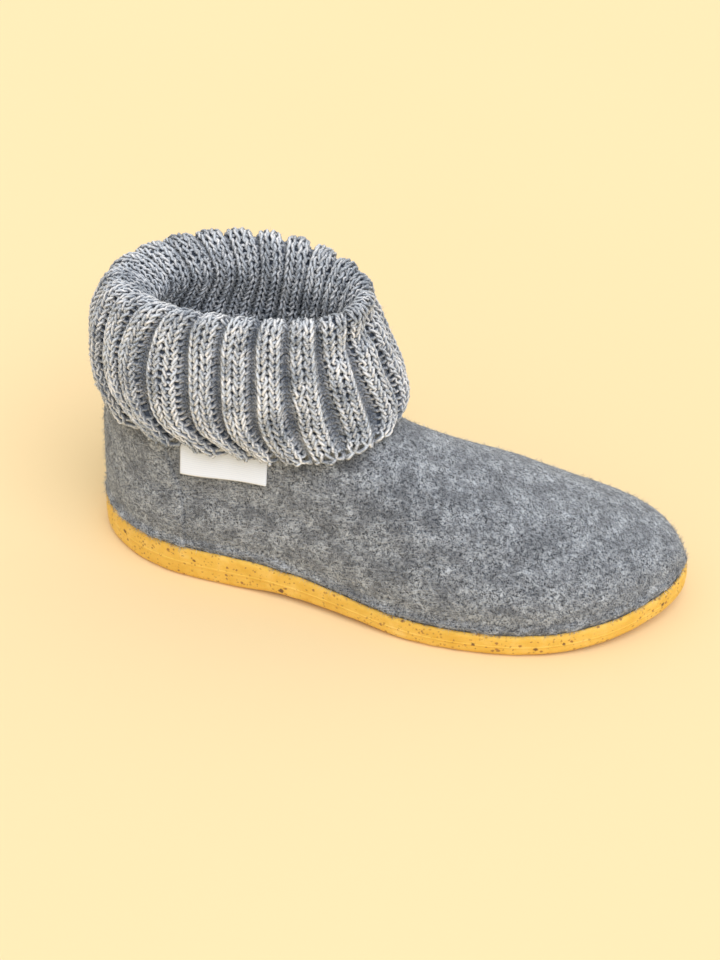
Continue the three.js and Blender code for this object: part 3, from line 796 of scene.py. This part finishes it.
def makeSole():
    # the outline carried down a rounded profile: each row is an inset and a way of finding its level,
    # with a half-round bead at mid height and a lip round the bed
    count = sole["columns"]
    edge = sole["edgeRound"]
    bead = sole["beadHeight"]
    lip = sole["lipWidth"]
    rows = []

    def addRow(inset, low, mix, high):
        # level = bottom + low + mix of the side's height - high
        x, y = outlineRing(count, inset)
        share = x / sole["length"]
        side = topLevel(share) - bottomLevel(share)
        rows.append(np.stack([x, y, bottomLevel(share) + low + mix * side - high], axis=-1))

    for inset in (16, 11, 7, 4.5):
        addRow(inset, 0, 0, 0)
    for turn in np.linspace(0, math.pi / 2, 9):
        addRow(bead + edge * (1 - math.sin(turn)), edge * (1 - math.cos(turn)), 0, 0)
    for mix in (0.36, 0.42, 0.445):
        addRow(bead, 0, mix, 0)
    for turn in np.linspace(0, math.pi, 7):
        addRow(bead * (1 - math.sin(turn)), 0, 0.5 - 0.045 * math.cos(turn), 0)
    for mix in (0.555, 0.58, 0.62):
        addRow(bead, 0, mix, 0)
    for turn in np.linspace(0, math.pi / 2, 8):
        addRow(bead + (lip - bead) * 0.8 * (1 - math.cos(turn)), 0, 1, 0.75 * edge * (1 - math.sin(turn)))
    addRow(lip, 0, 1, 0.15)
    addRow(lip, 0, 1, 0.6)
    addRow(lip, 0, 1, sole["lipDepth"])
    addRow(6 * lip, 0, 1, sole["lipDepth"])
    body = np.stack(rows)
    rough = softNoise(body, 5, 3)
    outer = (body[..., 2] > 0.6)[..., None]
    body = body + outer * rough[..., None] * np.array([0.08, 0.08, 0.1])
    # the moulded rim wanders a little up and down, and the ground stays flat
    rise = clamp(body[..., 2] / sole["heelThickness"]) ** 2
    body[..., 2] += sole["rimWander"] * rise * softNoise(body * np.array([1, 1, 0]), sole["rimWave"], 8)
    under = closeToSpine(body[0], 6)[::-1]
    bed = closeToSpine(body[-1], 6)
    grid = np.concatenate([under, body, bed])
    piece = makePiece("rubberSole", grid, gridFaces(len(grid), count), rubberMaterial, merge=True)
    finishPiece(piece, "outsole")


makeSole()
print("sole made")


# Footbed

def makeFootbed():
    # the inner wall's own outline, pulled in by the wall and a gap, with a rounded upper edge
    count = footbed["columns"]
    angle = fullTurn * np.arange(count) / count
    edge = footbed["edgeRound"]
    rows = []

    def addRow(above, shrink):
        height = footbed["lift"] + above - sole["lipDepth"]
        ring = offsetPoint(angle, np.full(count, height), np.full(count, -(felt["wall"] + footbed["gap"] + shrink)))
        ring[:, 2] = topLevel(ring[:, 0] / sole["length"]) - sole["lipDepth"] + footbed["lift"] + above
        rows.append(ring)

    for above in np.linspace(0, footbed["thickness"] - edge, 4):
        addRow(above, 0)
    for turn in np.linspace(0, math.pi / 2, 6)[1:]:
        addRow(footbed["thickness"] - edge * (1 - math.sin(turn)), edge * (1 - math.cos(turn)))
    body = np.stack(rows)
    top = closeToSpine(body[-1], 16)
    # a shallow seat worn by the heel and the ball of the foot
    wornHeel = np.exp(-((top[..., 0] - 42) / 30) ** 2)
    wornBall = np.exp(-((top[..., 0] - 190) / 34) ** 2)
    middle = np.linspace(0, 1, 16)[:, None] ** 0.5
    top[..., 2] -= 0.6 * middle * (wornHeel + wornBall)
    under = closeToSpine(body[0], 6)[::-1]
    grid = np.concatenate([under, body, top])
    piece = makePiece("feltFootbed", grid, gridFaces(len(grid), count), footbedMaterial, merge=True)
    finishPiece(piece, "insole")


makeFootbed()
print("footbed made")


# Felt upper

def upperAngles(height):
    # columns that follow the heel panel's seam: even from the heel to the seam, close together over
    # the seam, and even again to the toe, and the same on the inner side
    seamAngle = angleAt(seamPlace(np.maximum(height, 0)), np.maximum(height, 0))
    seamHalf = 0.02
    heel = np.linspace(0, 1, 49)[1:-1]
    over = np.linspace(-1, 1, 13)
    front = np.linspace(0, 1, 133)[1:-1]
    start = seamAngle[:, None] - seamHalf
    end = seamAngle[:, None] + seamHalf
    half = np.concatenate([start * heel, seamAngle[:, None] + seamHalf * over, end + (math.pi - end) * front], axis=1)
    zero = np.zeros((len(height), 1))
    return np.concatenate([zero, half, zero + math.pi, fullTurn - half[:, ::-1]], axis=1)


def feltRelief(points, height):
    # listed soft spots (a bell curve along and up), the swell over the lip, and small lumps
    share = points[..., 0] / sole["length"]
    level = height / felt["collarHeight"]
    side = np.sign(points[..., 1] - centreLine(clamp(share)))
    relief = 0
    for at, on, up, length, tall, depth in felt["handling"]:
        along = (share - at) * sole["length"] / length
        upward = (level - up) * felt["collarHeight"] / tall
        facing = 1 if on == 0 else smoothStep(0.5 + 0.5 * side * on)
        relief = relief + depth * facing * np.exp(-along ** 2 - upward ** 2)
    foot = felt["footSwell"] * np.exp(-((height - felt["footSwellCentre"]) / felt["footSwellHeight"]) ** 2)
    lumps = softNoise(points, felt["lumpSize"], 1) + 0.6 * softNoise(points, felt["lumpSize"] / 2.6, 2)
    foot = foot * (1 + 0.6 * softNoise(points, 5, 11))
    return relief + foot + felt["lumpDepth"] * lumps


def panelRelief(points, height):
    # the heel panel's cut edge: a step that falls to a thin groove and back to the side's level
    past = points[..., 0] - seamPlace(np.maximum(height, 0))
    uneven = 0.35 * softNoise(points, 5, 5)
    step = felt["panelStep"] * smoothStep((0.5 * felt["edgeWidth"] - past - uneven) / felt["edgeWidth"])
    groove = -0.4 * np.exp(-((past + uneven - 0.8) / 0.5) ** 2)
    crown = 0.22 * np.exp(-((past + uneven + 1.2) / 1.4) ** 2)
    return step + groove + crown


def makeUpper():
    # one closed wall: up the outside, over the rounded collar, down the inside, and across the foot
    wall = felt["wall"]
    outerHeights = np.concatenate([np.linspace(-1.2, 3, 8), np.linspace(3, felt["collarHeight"] - 1.5, 78)[1:]])
    turns = np.linspace(0, math.pi, 9)[1:-1]
    innerHeights = np.concatenate([np.linspace(felt["collarHeight"] - 1.5, 3, 46), [0.9, -1.2]])
    outer = np.stack([outerHeights, np.zeros(len(outerHeights)), np.ones(len(outerHeights))], axis=1)
    rim = np.stack([felt["collarHeight"] - 1.5 + 1.5 * np.sin(turns), -wall / 2 * (1 - np.cos(turns)),
                    np.cos(turns / 2) ** 2], axis=1)
    inner = np.stack([innerHeights, np.full(len(innerHeights), -wall), np.zeros(len(innerHeights))], axis=1)
    rows = np.concatenate([outer, rim, inner])
    height = rows[:, :1]
    angle = upperAngles(rows[:, 0])
    surface = lastPoint(angle, height)
    shown = rows[:, 2:] * smoothStep((height + 1.2) / 2)
    relief = (feltRelief(surface, height) + panelRelief(surface, height)) * shown
    inside = 0.25 * softNoise(surface, 5, 9) * (1 - rows[:, 2:])
    grid = surface + lastNormal(angle, height) * (rows[:, 1:2] + relief + inside)[..., None]
    piece = makePiece("feltUpper", grid, gridFaces(len(grid), grid.shape[1], joinRows=True), feltMaterial)
    finishPiece(piece, "upper")
    outside = grid[:len(outerHeights)]
    normals = lastNormal(angle, height)[:len(outerHeights)]
    return outside, normals


upperOutside, upperNormals = makeUpper()
print("upper made")


def makeNap():
    # loose ends of wool that stand from the felt, thickest along its lower edge, none under the cuff
    rows, columns = upperOutside.shape[:2]
    tries = 3 * felt["napFibres"]
    low = random.random(tries) < felt["napFootShare"]
    row = np.where(low, random.integers(3, 10, tries), random.integers(4, rows - 2, tries))
    column = random.integers(0, columns, tries)
    span = np.linalg.norm(np.roll(upperOutside, -1, axis=1) - upperOutside, axis=-1)
    keep = random.random(tries) < span[row, column] / np.percentile(span, 90)
    share = upperOutside[row, column, 0] / sole["length"]
    keep &= (row < 0.82 * rows) | (share > 0.47)
    row, column = row[keep][:felt["napFibres"]], column[keep][:felt["napFibres"]]
    count = len(row)
    normal = upperNormals[row, column]
    stray = random.normal(size=(count, 3))
    jitter = np.cross(normal, stray) * 0.6
    roots = upperOutside[row, column] + jitter - 0.1 * normal
    # most lie flat on the felt and a few stand
    stand = 0.08 + 0.9 * random.random((count, 1)) ** 2.5
    directions = unit(normal * stand + unit(np.cross(normal, stray)))
    lengths = random.uniform(*felt["napLength"], count)
    nap = makeFibres("feltNap", roots, directions, lengths, felt["napRadius"], napMaterial)
    finishPiece(nap, "upper")


makeNap()
print("nap made")


# Knitted cuff

def aroundValue(values, angle):
    # cosine blend of back and front, pulled to the side's value by the square of the sine
    back, outer, inner, front = values
    middle = (front + back) / 2
    side = np.where(np.sin(angle) > 0, outer, inner)
    return middle - (front - back) / 2 * np.cos(angle) + (side - middle) * np.sin(angle) ** 2


def foldPoints(fold, angle):
    # a rounded oval round the foot (a power curve), at its rise above the collar
    back, front, half, middle, rise = fold
    power = cuff["ovalPower"]
    cosine, sine = np.cos(angle), np.sin(angle)
    stretch = (np.abs(cosine) ** power + np.abs(sine) ** power) ** (-1 / power)
    x = sole["length"] * (front + back - (front - back) * cosine * stretch) / 2
    y = sole["ballWidth"] * (middle - half * sine * stretch)
    z = topLevel(x / sole["length"]) + felt["collarHeight"] + cuff["rise"] * aroundValue(rise, angle)
    return np.stack([x, y, z], axis=-1)


def cuffRows(angle):
    # the lap inside the collar, its mouth, the free folds, and the hem round the upper
    inside = felt["wall"] + cuff["lapGap"] + cuff["knitThickness"] / 2 + cuff["ribDepth"] * 0.25
    lapHeight = felt["collarHeight"] - cuff["lapDepth"] * aroundValue(cuff["lapShare"], angle)
    lap = offsetPoint(angle, lapHeight, np.full(len(angle), -inside))
    mouth = offsetPoint(angle, np.full(len(angle), float(felt["collarHeight"])), np.full(len(angle), -inside))
    mouth[:, 2] += cuff["knitThickness"] / 2
    folds = [foldPoints(fold, angle) for fold in cuff["folds"]]
    clear = 0.3 + felt["panelStep"] + cuff["ribDepth"] + cuff["knitThickness"] / 2
    away = clear + cuff["hemSlack"] * aroundValue(cuff["hemSlackShare"], angle)
    hem = offsetPoint(angle, felt["collarHeight"] * aroundValue(cuff["hemHeight"], angle), away)
    return np.stack([lap, mouth] + folds + [hem])


def readGrid(grid, row, turn):
    # straight blend of the four nearest points; rows stop at the ends and columns run round
    rows, columns = grid.shape[:2]
    r = np.clip(row, 0, rows - 1.000001)
    c = (turn % 1) * columns
    r0 = r.astype(int)
    c0 = np.minimum(c.astype(int), columns - 1)
    c1 = (c0 + 1) % columns
    fr = (r - r0)[..., None]
    fc = (c - c0)[..., None]
    low = grid[r0, c0] * (1 - fc) + grid[r0, c1] * fc
    high = grid[r0 + 1, c0] * (1 - fc) + grid[r0 + 1, c1] * fc
    return low * (1 - fr) + high * fr


def makeCuffSheet():
    # the middle of the sheet on an even grid: columns part the bulge evenly, rows part each column's
    # length evenly from the lap (0) to the hem (1)
    steps = np.linspace(0, fullTurn, 1441)
    bulge = foldPoints(cuff["folds"][cuff["bulgeFold"]], steps)
    lengths = np.concatenate([[0], np.cumsum(np.linalg.norm(np.diff(bulge, axis=0), axis=1))])
    columns = cuff["ribs"] * 32
    angle = np.interp(np.arange(columns) / columns, lengths / lengths[-1], steps)
    rows = cuffRows(angle)
    fold = np.linspace(0, len(rows) - 1 + 0.08, 420)
    fine = curveThrough(np.arange(len(rows)), rows)(fold)
    pieces = np.linalg.norm(np.diff(fine, axis=0), axis=-1)
    reach = np.concatenate([np.zeros((1, columns)), np.cumsum(pieces, axis=0)])
    hemRow = np.argmin(np.abs(fold - (len(rows) - 1)))
    share = reach / reach[hemRow]
    lanes = 3 * np.arange(columns)
    wanted = np.linspace(0, 1.02, 307)
    found = np.interp((wanted[:, None] + lanes).T.ravel(), (share + lanes).T.ravel(),
                      np.tile(np.arange(len(fold)), columns))
    turn = np.broadcast_to(np.arange(columns) / columns, (len(wanted), columns))
    sheet = readGrid(fine, found.reshape(columns, -1).T, turn)
    along = np.gradient(sheet, axis=0)
    around = np.roll(sheet, -1, axis=1) - np.roll(sheet, 1, axis=1)
    return sheet, unit(np.cross(along, around)), reach[hemRow]


cuffSheet, cuffNormals, cuffLengths = makeCuffSheet()
sheetStep = (len(cuffSheet) - 1) / 1.02
print("cuff sheet made, course pitch", round(float(cuffLengths.mean()) / cuff["courses"], 2))


def sheetPoint(share, turn, depth):
    # place on the sheet and out along its normal, by the depth and the listed creases, each a
    # bell curve round the cuff and down it
    row = share * sheetStep
    for at, level, reach, tall, fold in cuff["creases"]:
        around = (turn - at + 0.5) % 1 - 0.5
        depth = depth + fold * np.exp(-(around / reach) ** 2 - ((share - level) / tall) ** 2)
    return readGrid(cuffSheet, row, turn) + unit(readGrid(cuffNormals, row, turn)) * depth[..., None]


def ribWidthAt(share, turn):
    # the sheet's length between two places a quarter of a rib apart, times four
    half = 1 / cuff["ribs"] / 8
    row = share * sheetStep
    return 4 * np.linalg.norm(readGrid(cuffSheet, row, turn + half) - readGrid(cuffSheet, row, turn - half), axis=-1)


def ribTurn(rib, share):
    # ribs to turns: the knit half of each rib is widened and the purl half narrowed by a cosine, so
    # that the knit pair keeps its width
    knitShare = np.clip(cuff["knitPair"] / ribWidthAt(share, rib / cuff["ribs"]), *cuff["knitShareLimits"])
    widen = (knitShare - 0.5) / 2
    return (rib - widen * np.cos(fullTurn * rib)) / cuff["ribs"]


def ribRelief(rib, share, turn):
    # a flat-topped wave, lower where the ribs crowd and where the cuff is sewn into the collar
    power = cuff["reliefPower"]
    wave = np.tanh(power * np.sin(fullTurn * rib)) / math.tanh(power)
    crowded = np.clip((ribWidthAt(share, turn) / cuff["openRib"]) ** 0.5, 0.7, 1.05)
    full = (0.25 + 0.75 * smoothStep((share - 0.06) / 0.14)) * crowded * (1 - 0.22 * smoothStep((share - 0.86) / 0.12))
    return full * (cuff["reliefHeight"] * wave + cuff["reliefBias"])


def swayOf(turn, share):
    # slow wander of the ribs round the cuff, plus their lean: a bell curve round the cuff that
    # comes in with the way down, all in turns
    spot = np.stack([np.cos(fullTurn * turn) * 60, np.sin(fullTurn * turn) * 60, share * 130], axis=-1)
    lean = 0
    for at, reach, start, end, ribs in cuff["ribLean"]:
        lean = lean + ribs * np.exp(-((turn - at) / reach) ** 2) * smoothStep((share - start) / (end - start))
    return cuff["ribSway"] * softNoise(spot, 24, 4) / 330 + lean / cuff["ribs"]


def makeKnit():
    # each course is one closed yarn: the way round adds a sine of twice the loop's angle (the lean of
    # the legs), the way up is the cosine, and the depth the cosine of twice the angle, outwards for
    # knit wales and inwards for purl wales
    wales = cuff["ribs"] * cuff["walesPerRib"]
    count = wales * cuff["samples"]
    courses = cuff["courses"] - 1
    pitch = 1 / cuff["courses"]
    steps = np.arange(count) / cuff["samples"]
    loop = fullTurn * steps
    strayAround = random.normal(0, cuff["yarnStrayAround"], (courses, wales))
    strayAlong = random.normal(0, cuff["yarnStrayAlong"], (courses, wales))
    strayDepth = random.normal(0, 0.12, (courses, wales))
    low = steps.astype(int)
    part = (steps - low + 0.5) % 1
    before = (low + np.where(steps - low < 0.5, -1, 0)) % wales
    after = (before + 1) % wales

    def eased(values):
        return values[:, before] * (1 - smoothStep(part)) + values[:, after] * smoothStep(part)

    lean = cuff["loopLean"] / fullTurn
    waleWidth = 5.0
    way = steps + lean * np.sin(2 * loop) + eased(strayAround) / waleWidth
    rib = way / cuff["walesPerRib"]
    facing = np.tanh(5 * np.sin(fullTurn * rib)) / math.tanh(5)
    order = np.arange(courses)[:, None]
    share = 1 - (order + 0.85) * pitch + cuff["loopReach"] * pitch * np.cos(loop)
    share = share + eased(strayAlong) / cuffLengths.mean()
    turn = ribTurn(rib, share)
    turn = turn + swayOf(turn, share)
    depth = ribRelief(rib, share, turn) - cuff["loopDepth"] * facing * np.cos(2 * loop) + eased(strayDepth)
    middle = sheetPoint(share, turn, depth)
    normal = unit(readGrid(cuffNormals, share * sheetStep, turn))
    ahead = unit(np.roll(middle, -1, axis=1) - np.roll(middle, 1, axis=1))
    outward = unit(normal - ahead * np.sum(normal * ahead, axis=-1, keepdims=True))
    sideways = np.cross(ahead, outward)
    radius = cuff["yarnRadius"] * np.clip((ribWidthAt(share, turn) / 13) ** 0.5, 0.8, 1.05)
    radius = radius * (1 + 0.1 * softNoise(middle, 4, 6))
    sides = cuff["sides"]
    round_ = fullTurn * np.arange(sides) / sides
    points = middle[:, :, None] + radius[..., None, None] * (
        outward[:, :, None] * np.cos(round_)[:, None] + sideways[:, :, None] * np.sin(round_)[:, None])
    lengths = np.linalg.norm(np.roll(middle, -1, axis=1) - middle, axis=-1)
    travelled = np.cumsum(lengths, axis=1) - lengths
    lay = 7.5
    turns = np.round(lengths.sum(axis=1, keepdims=True) / lay)
    start = travelled / lengths.sum(axis=1, keepdims=True) * turns
    end = np.concatenate([start[:, 1:], turns], axis=1)
    return points, start, end, np.repeat(depth[:, :, None], sides, axis=2)


def makeKnitPieces():
    points, start, end, depth = makeKnit()
    courses, count, sides = points.shape[:3]
    groups = [("cuffKnitHem", 0, 11), ("cuffKnitBulge", 11, 21), ("cuffKnitRoll", 21, 31),
              ("cuffKnitLap", 31, courses)]
    around = np.arange(sides)
    for name, first, last in groups:
        block = points[first:last]
        faces = np.concatenate([
            gridFaces(count, sides, joinRows=True, start=k * count * sides) for k in range(last - first)])
        uv = np.empty((last - first, count, sides, 4, 2))
        uv[..., 0, 0] = uv[..., 1, 0] = start[first:last, :, None]
        uv[..., 2, 0] = uv[..., 3, 0] = end[first:last, :, None]
        uv[..., 0, 1] = uv[..., 3, 1] = around / sides
        uv[..., 1, 1] = uv[..., 2, 1] = (around + 1) / sides
        piece = makePiece(name, block, faces, yarnMaterial, uv=uv, depth=depth[first:last])
        finishPiece(piece, "knit_cuff")
    return points


knitPoints = makeKnitPieces()
print("knit made")


def makeCastOn():
    # the first row's edge: a yarn that winds once round the hem for each wale
    wales = cuff["ribs"] * cuff["walesPerRib"]
    count = wales * 10
    steps = np.arange(count) / 10
    rib = steps / cuff["walesPerRib"]
    wind = fullTurn * steps
    share = 1 + (0.7 * np.cos(wind) + 0.4 * np.sin(0.37 * wind)) / cuffLengths.mean()
    turn = ribTurn(rib, share)
    turn = turn + swayOf(turn, share)
    depth = ribRelief(rib, share, turn) + 0.8 * np.sin(wind)
    middle = sheetPoint(share, turn, depth)
    normal = unit(readGrid(cuffNormals, share * sheetStep, turn))
    ahead = unit(np.roll(middle, -1, axis=0) - np.roll(middle, 1, axis=0))
    outward = unit(normal - ahead * np.sum(normal * ahead, axis=-1, keepdims=True))
    sideways = np.cross(ahead, outward)
    sides = cuff["sides"]
    angles = fullTurn * np.arange(sides) / sides
    points = middle[:, None] + cuff["yarnRadius"] * (
        outward[:, None] * np.cos(angles)[:, None] + sideways[:, None] * np.sin(angles)[:, None])
    lengths = np.linalg.norm(np.roll(middle, -1, axis=0) - middle, axis=-1)
    travelled = np.concatenate([[0], np.cumsum(lengths)])
    travelled = travelled / travelled[-1] * round(travelled[-1] / 7.5)
    uv = np.empty((count, sides, 4, 2))
    uv[..., 0, 0] = uv[..., 1, 0] = travelled[:-1, None]
    uv[..., 2, 0] = uv[..., 3, 0] = travelled[1:, None]
    uv[..., 0, 1] = uv[..., 3, 1] = np.arange(sides) / sides
    uv[..., 1, 1] = uv[..., 2, 1] = (np.arange(sides) + 1) / sides
    piece = makePiece("cuffCastOn", points, gridFaces(count, sides, joinRows=True), yarnMaterial, uv=uv,
                      depth=np.repeat(depth[:, None], sides, axis=1))
    finishPiece(piece, "knit_cuff")


makeCastOn()


def makeBacking():
    # a thin ribbed wall just behind the yarn, which closes the small gaps between loops; its dark
    # colour is painted shade for those gaps
    columns = cuff["ribs"] * 8
    share = np.linspace(0.01, 0.975, 56)
    share, rib = np.meshgrid(share, np.arange(columns) / 8, indexing="ij")
    turn = ribTurn(rib, share)
    turn = turn + swayOf(turn, share)
    relief = ribRelief(rib, share, turn)
    front = sheetPoint(share, turn, relief - cuff["backingDepth"])
    back = sheetPoint(share, turn, relief - cuff["backingDepth"] - cuff["backingWall"])
    grid = np.concatenate([front, back[::-1]])
    piece = makePiece("cuffBacking", grid, gridFaces(len(grid), columns, joinRows=True), backingMaterial)
    finishPiece(piece, "knit_cuff")


makeBacking()


def makeFuzz():
    # loose fibres that stand from the yarn, on the side that shows
    courses, count, sides = knitPoints.shape[:3]
    number = cuff["fuzzFibres"]
    course = random.integers(0, courses - 3, number)
    step = random.integers(0, count, number)
    side = random.choice([0, 1, sides - 1], number)
    roots = knitPoints[course, step, side]
    middle = knitPoints[course, step].mean(axis=1)
    outward = unit(roots - middle)
    stray = unit(np.cross(outward, random.normal(size=(number, 3))))
    directions = unit(outward * random.uniform(0.3, 1, (number, 1)) + stray)
    lengths = random.uniform(*cuff["fuzzLength"], number)
    fuzz = makeFibres("cuffFuzz", roots - 0.1 * outward, directions, lengths, cuff["fuzzRadius"], fuzzMaterial)
    finishPiece(fuzz, "knit_cuff")


makeFuzz()
print("cuff finished")


# Side label

def makeLabel():
    # a flat tape on the felt, its section a thin closed loop (front up, back down), drawn to nothing
    # at its two ends, with its lower edge standing off the felt
    top = felt["collarHeight"] * cuff["hemHeight"][1] + 1
    start = seamPlace(top - label["height"]) + label["offset"]
    columns = label["columns"]
    rows = label["rows"]
    up = np.concatenate([np.linspace(0, 1, rows), np.linspace(1, 0, rows)])
    layer = np.concatenate([np.ones(rows), np.zeros(rows)])
    across = np.linspace(0, 1, columns)
    level, out, way = up[:, None], layer[:, None], across[None, :]
    height = top - label["height"] * (1 - level) + label["lean"] * way * (1 - level)
    wave = 0.35 * np.sin(fullTurn * (0.9 * way + 0.1)) * (1 - level)
    closing = np.minimum(1, np.minimum(way, 1 - way) * columns)
    lift = label["gap"] + label["lift"] * (1 - level) + wave + label["thickness"] * (0.5 + (out - 0.5) * closing)
    x = start + label["width"] * way + 0 * level
    grid = offsetPoint(angleAt(x, height), height, lift)
    loops = np.swapaxes(grid, 0, 1)
    uvGrid = np.stack([np.broadcast_to(way.T, loops.shape[:2]), np.broadcast_to(level.T * 0.45, loops.shape[:2])], axis=-1)
    faces = gridFaces(columns, 2 * rows)
    uv = uvGrid.reshape(-1, 2)[faces]
    piece = makePiece("tapeLabel", loops, faces, tapeMaterial, uv=uv, merge=True)
    finishPiece(piece, "side_label")


makeLabel()
print("label made")


# Stage, light and camera

stage = {
    "floorColours": ("#eed5a6", "#f0d7a9"),
    "floorSize": 30,
    "worldColour": "#fffaef",
    "worldStrength": 0.85,
    "keyFrom": (0.5, -0.62, 1.25),
    "keySpread": 46,
    "keyStrength": 1.95,
    "keyColour": "#eff4ff",
}


def makeStage():
    material, tree = newMaterial("paperBackdrop")
    place = addNode(tree, "ShaderNodeTexCoord").outputs["Object"]
    tone = addNode(tree, "ShaderNodeTexNoise", None, {"Vector": place, "Scale": 2.0, "Detail": 2})
    ramp = addNode(tree, "ShaderNodeValToRGB", None, {"Fac": tone.outputs["Fac"]})
    paintSteps(ramp, zip((0.3, 0.7), stage["floorColours"]))
    shader = addNode(tree, "ShaderNodeBsdfPrincipled", None,
                     {"Base Color": ramp.outputs["Color"], "Roughness": 0.85, "Specular IOR Level": 0.2})
    addNode(tree, "ShaderNodeOutputMaterial", None, {"Surface": shader.outputs["BSDF"]})
    half = stage["floorSize"] / 2
    mesh = bpy.data.meshes.new("floor")
    mesh.from_pydata([(-half, -half, 0), (half, -half, 0), (half, half, 0), (-half, half, 0)], [], [(0, 1, 2, 3)])
    mesh.materials.append(material)
    floor = bpy.data.objects.new("floor", mesh)
    bpy.context.collection.objects.link(floor)


def makeLight():
    world = bpy.data.worlds.new("studio")
    bpy.context.scene.world = world
    world.use_nodes = True
    backdrop = world.node_tree.nodes["Background"]
    backdrop.inputs["Color"].default_value = linearColour(stage["worldColour"])
    backdrop.inputs["Strength"].default_value = stage["worldStrength"]
    light = bpy.data.lights.new("softKey", "SUN")
    light.angle = math.radians(stage["keySpread"])
    light.energy = stage["keyStrength"]
    light.color = linearColour(stage["keyColour"])[:3]
    lamp = bpy.data.objects.new("softKey", light)
    lamp.rotation_mode = "QUATERNION"
    lamp.rotation_quaternion = Vector(stage["keyFrom"]).to_track_quat("Z", "Y")
    bpy.context.collection.objects.link(lamp)
    bpy.context.scene.view_settings.view_transform = "Standard"


camera = {
    "azimuth": 15.3,
    "elevation": 40,
    "distance": 1.0,
    "footPoint": (0.13, 0, 0),  # where the photograph's line of sight meets the slipper, from the heel
    "aim": (-0.012, 0, 0.044),
    "lens": 84,
}


def makeCamera():
    # the photograph's place round the slipper, turned to bring the one slipper to the middle
    azimuth = math.radians(camera["azimuth"])
    elevation = math.radians(camera["elevation"])
    back = Vector((math.sin(azimuth) * math.cos(elevation), -math.cos(azimuth) * math.cos(elevation),
                   math.sin(elevation)))
    place = Vector(origin) + Vector(camera["footPoint"]) + back * camera["distance"]
    data = bpy.data.cameras.new("camera")
    data.lens = camera["lens"]
    viewer = bpy.data.objects.new("camera", data)
    viewer.location = place
    viewer.rotation_mode = "QUATERNION"
    viewer.rotation_quaternion = (place - Vector(camera["aim"])).to_track_quat("Z", "Y")
    bpy.context.collection.objects.link(viewer)
    bpy.context.scene.camera = viewer


makeStage()
makeLight()
makeCamera()
print("stage, light and camera made")
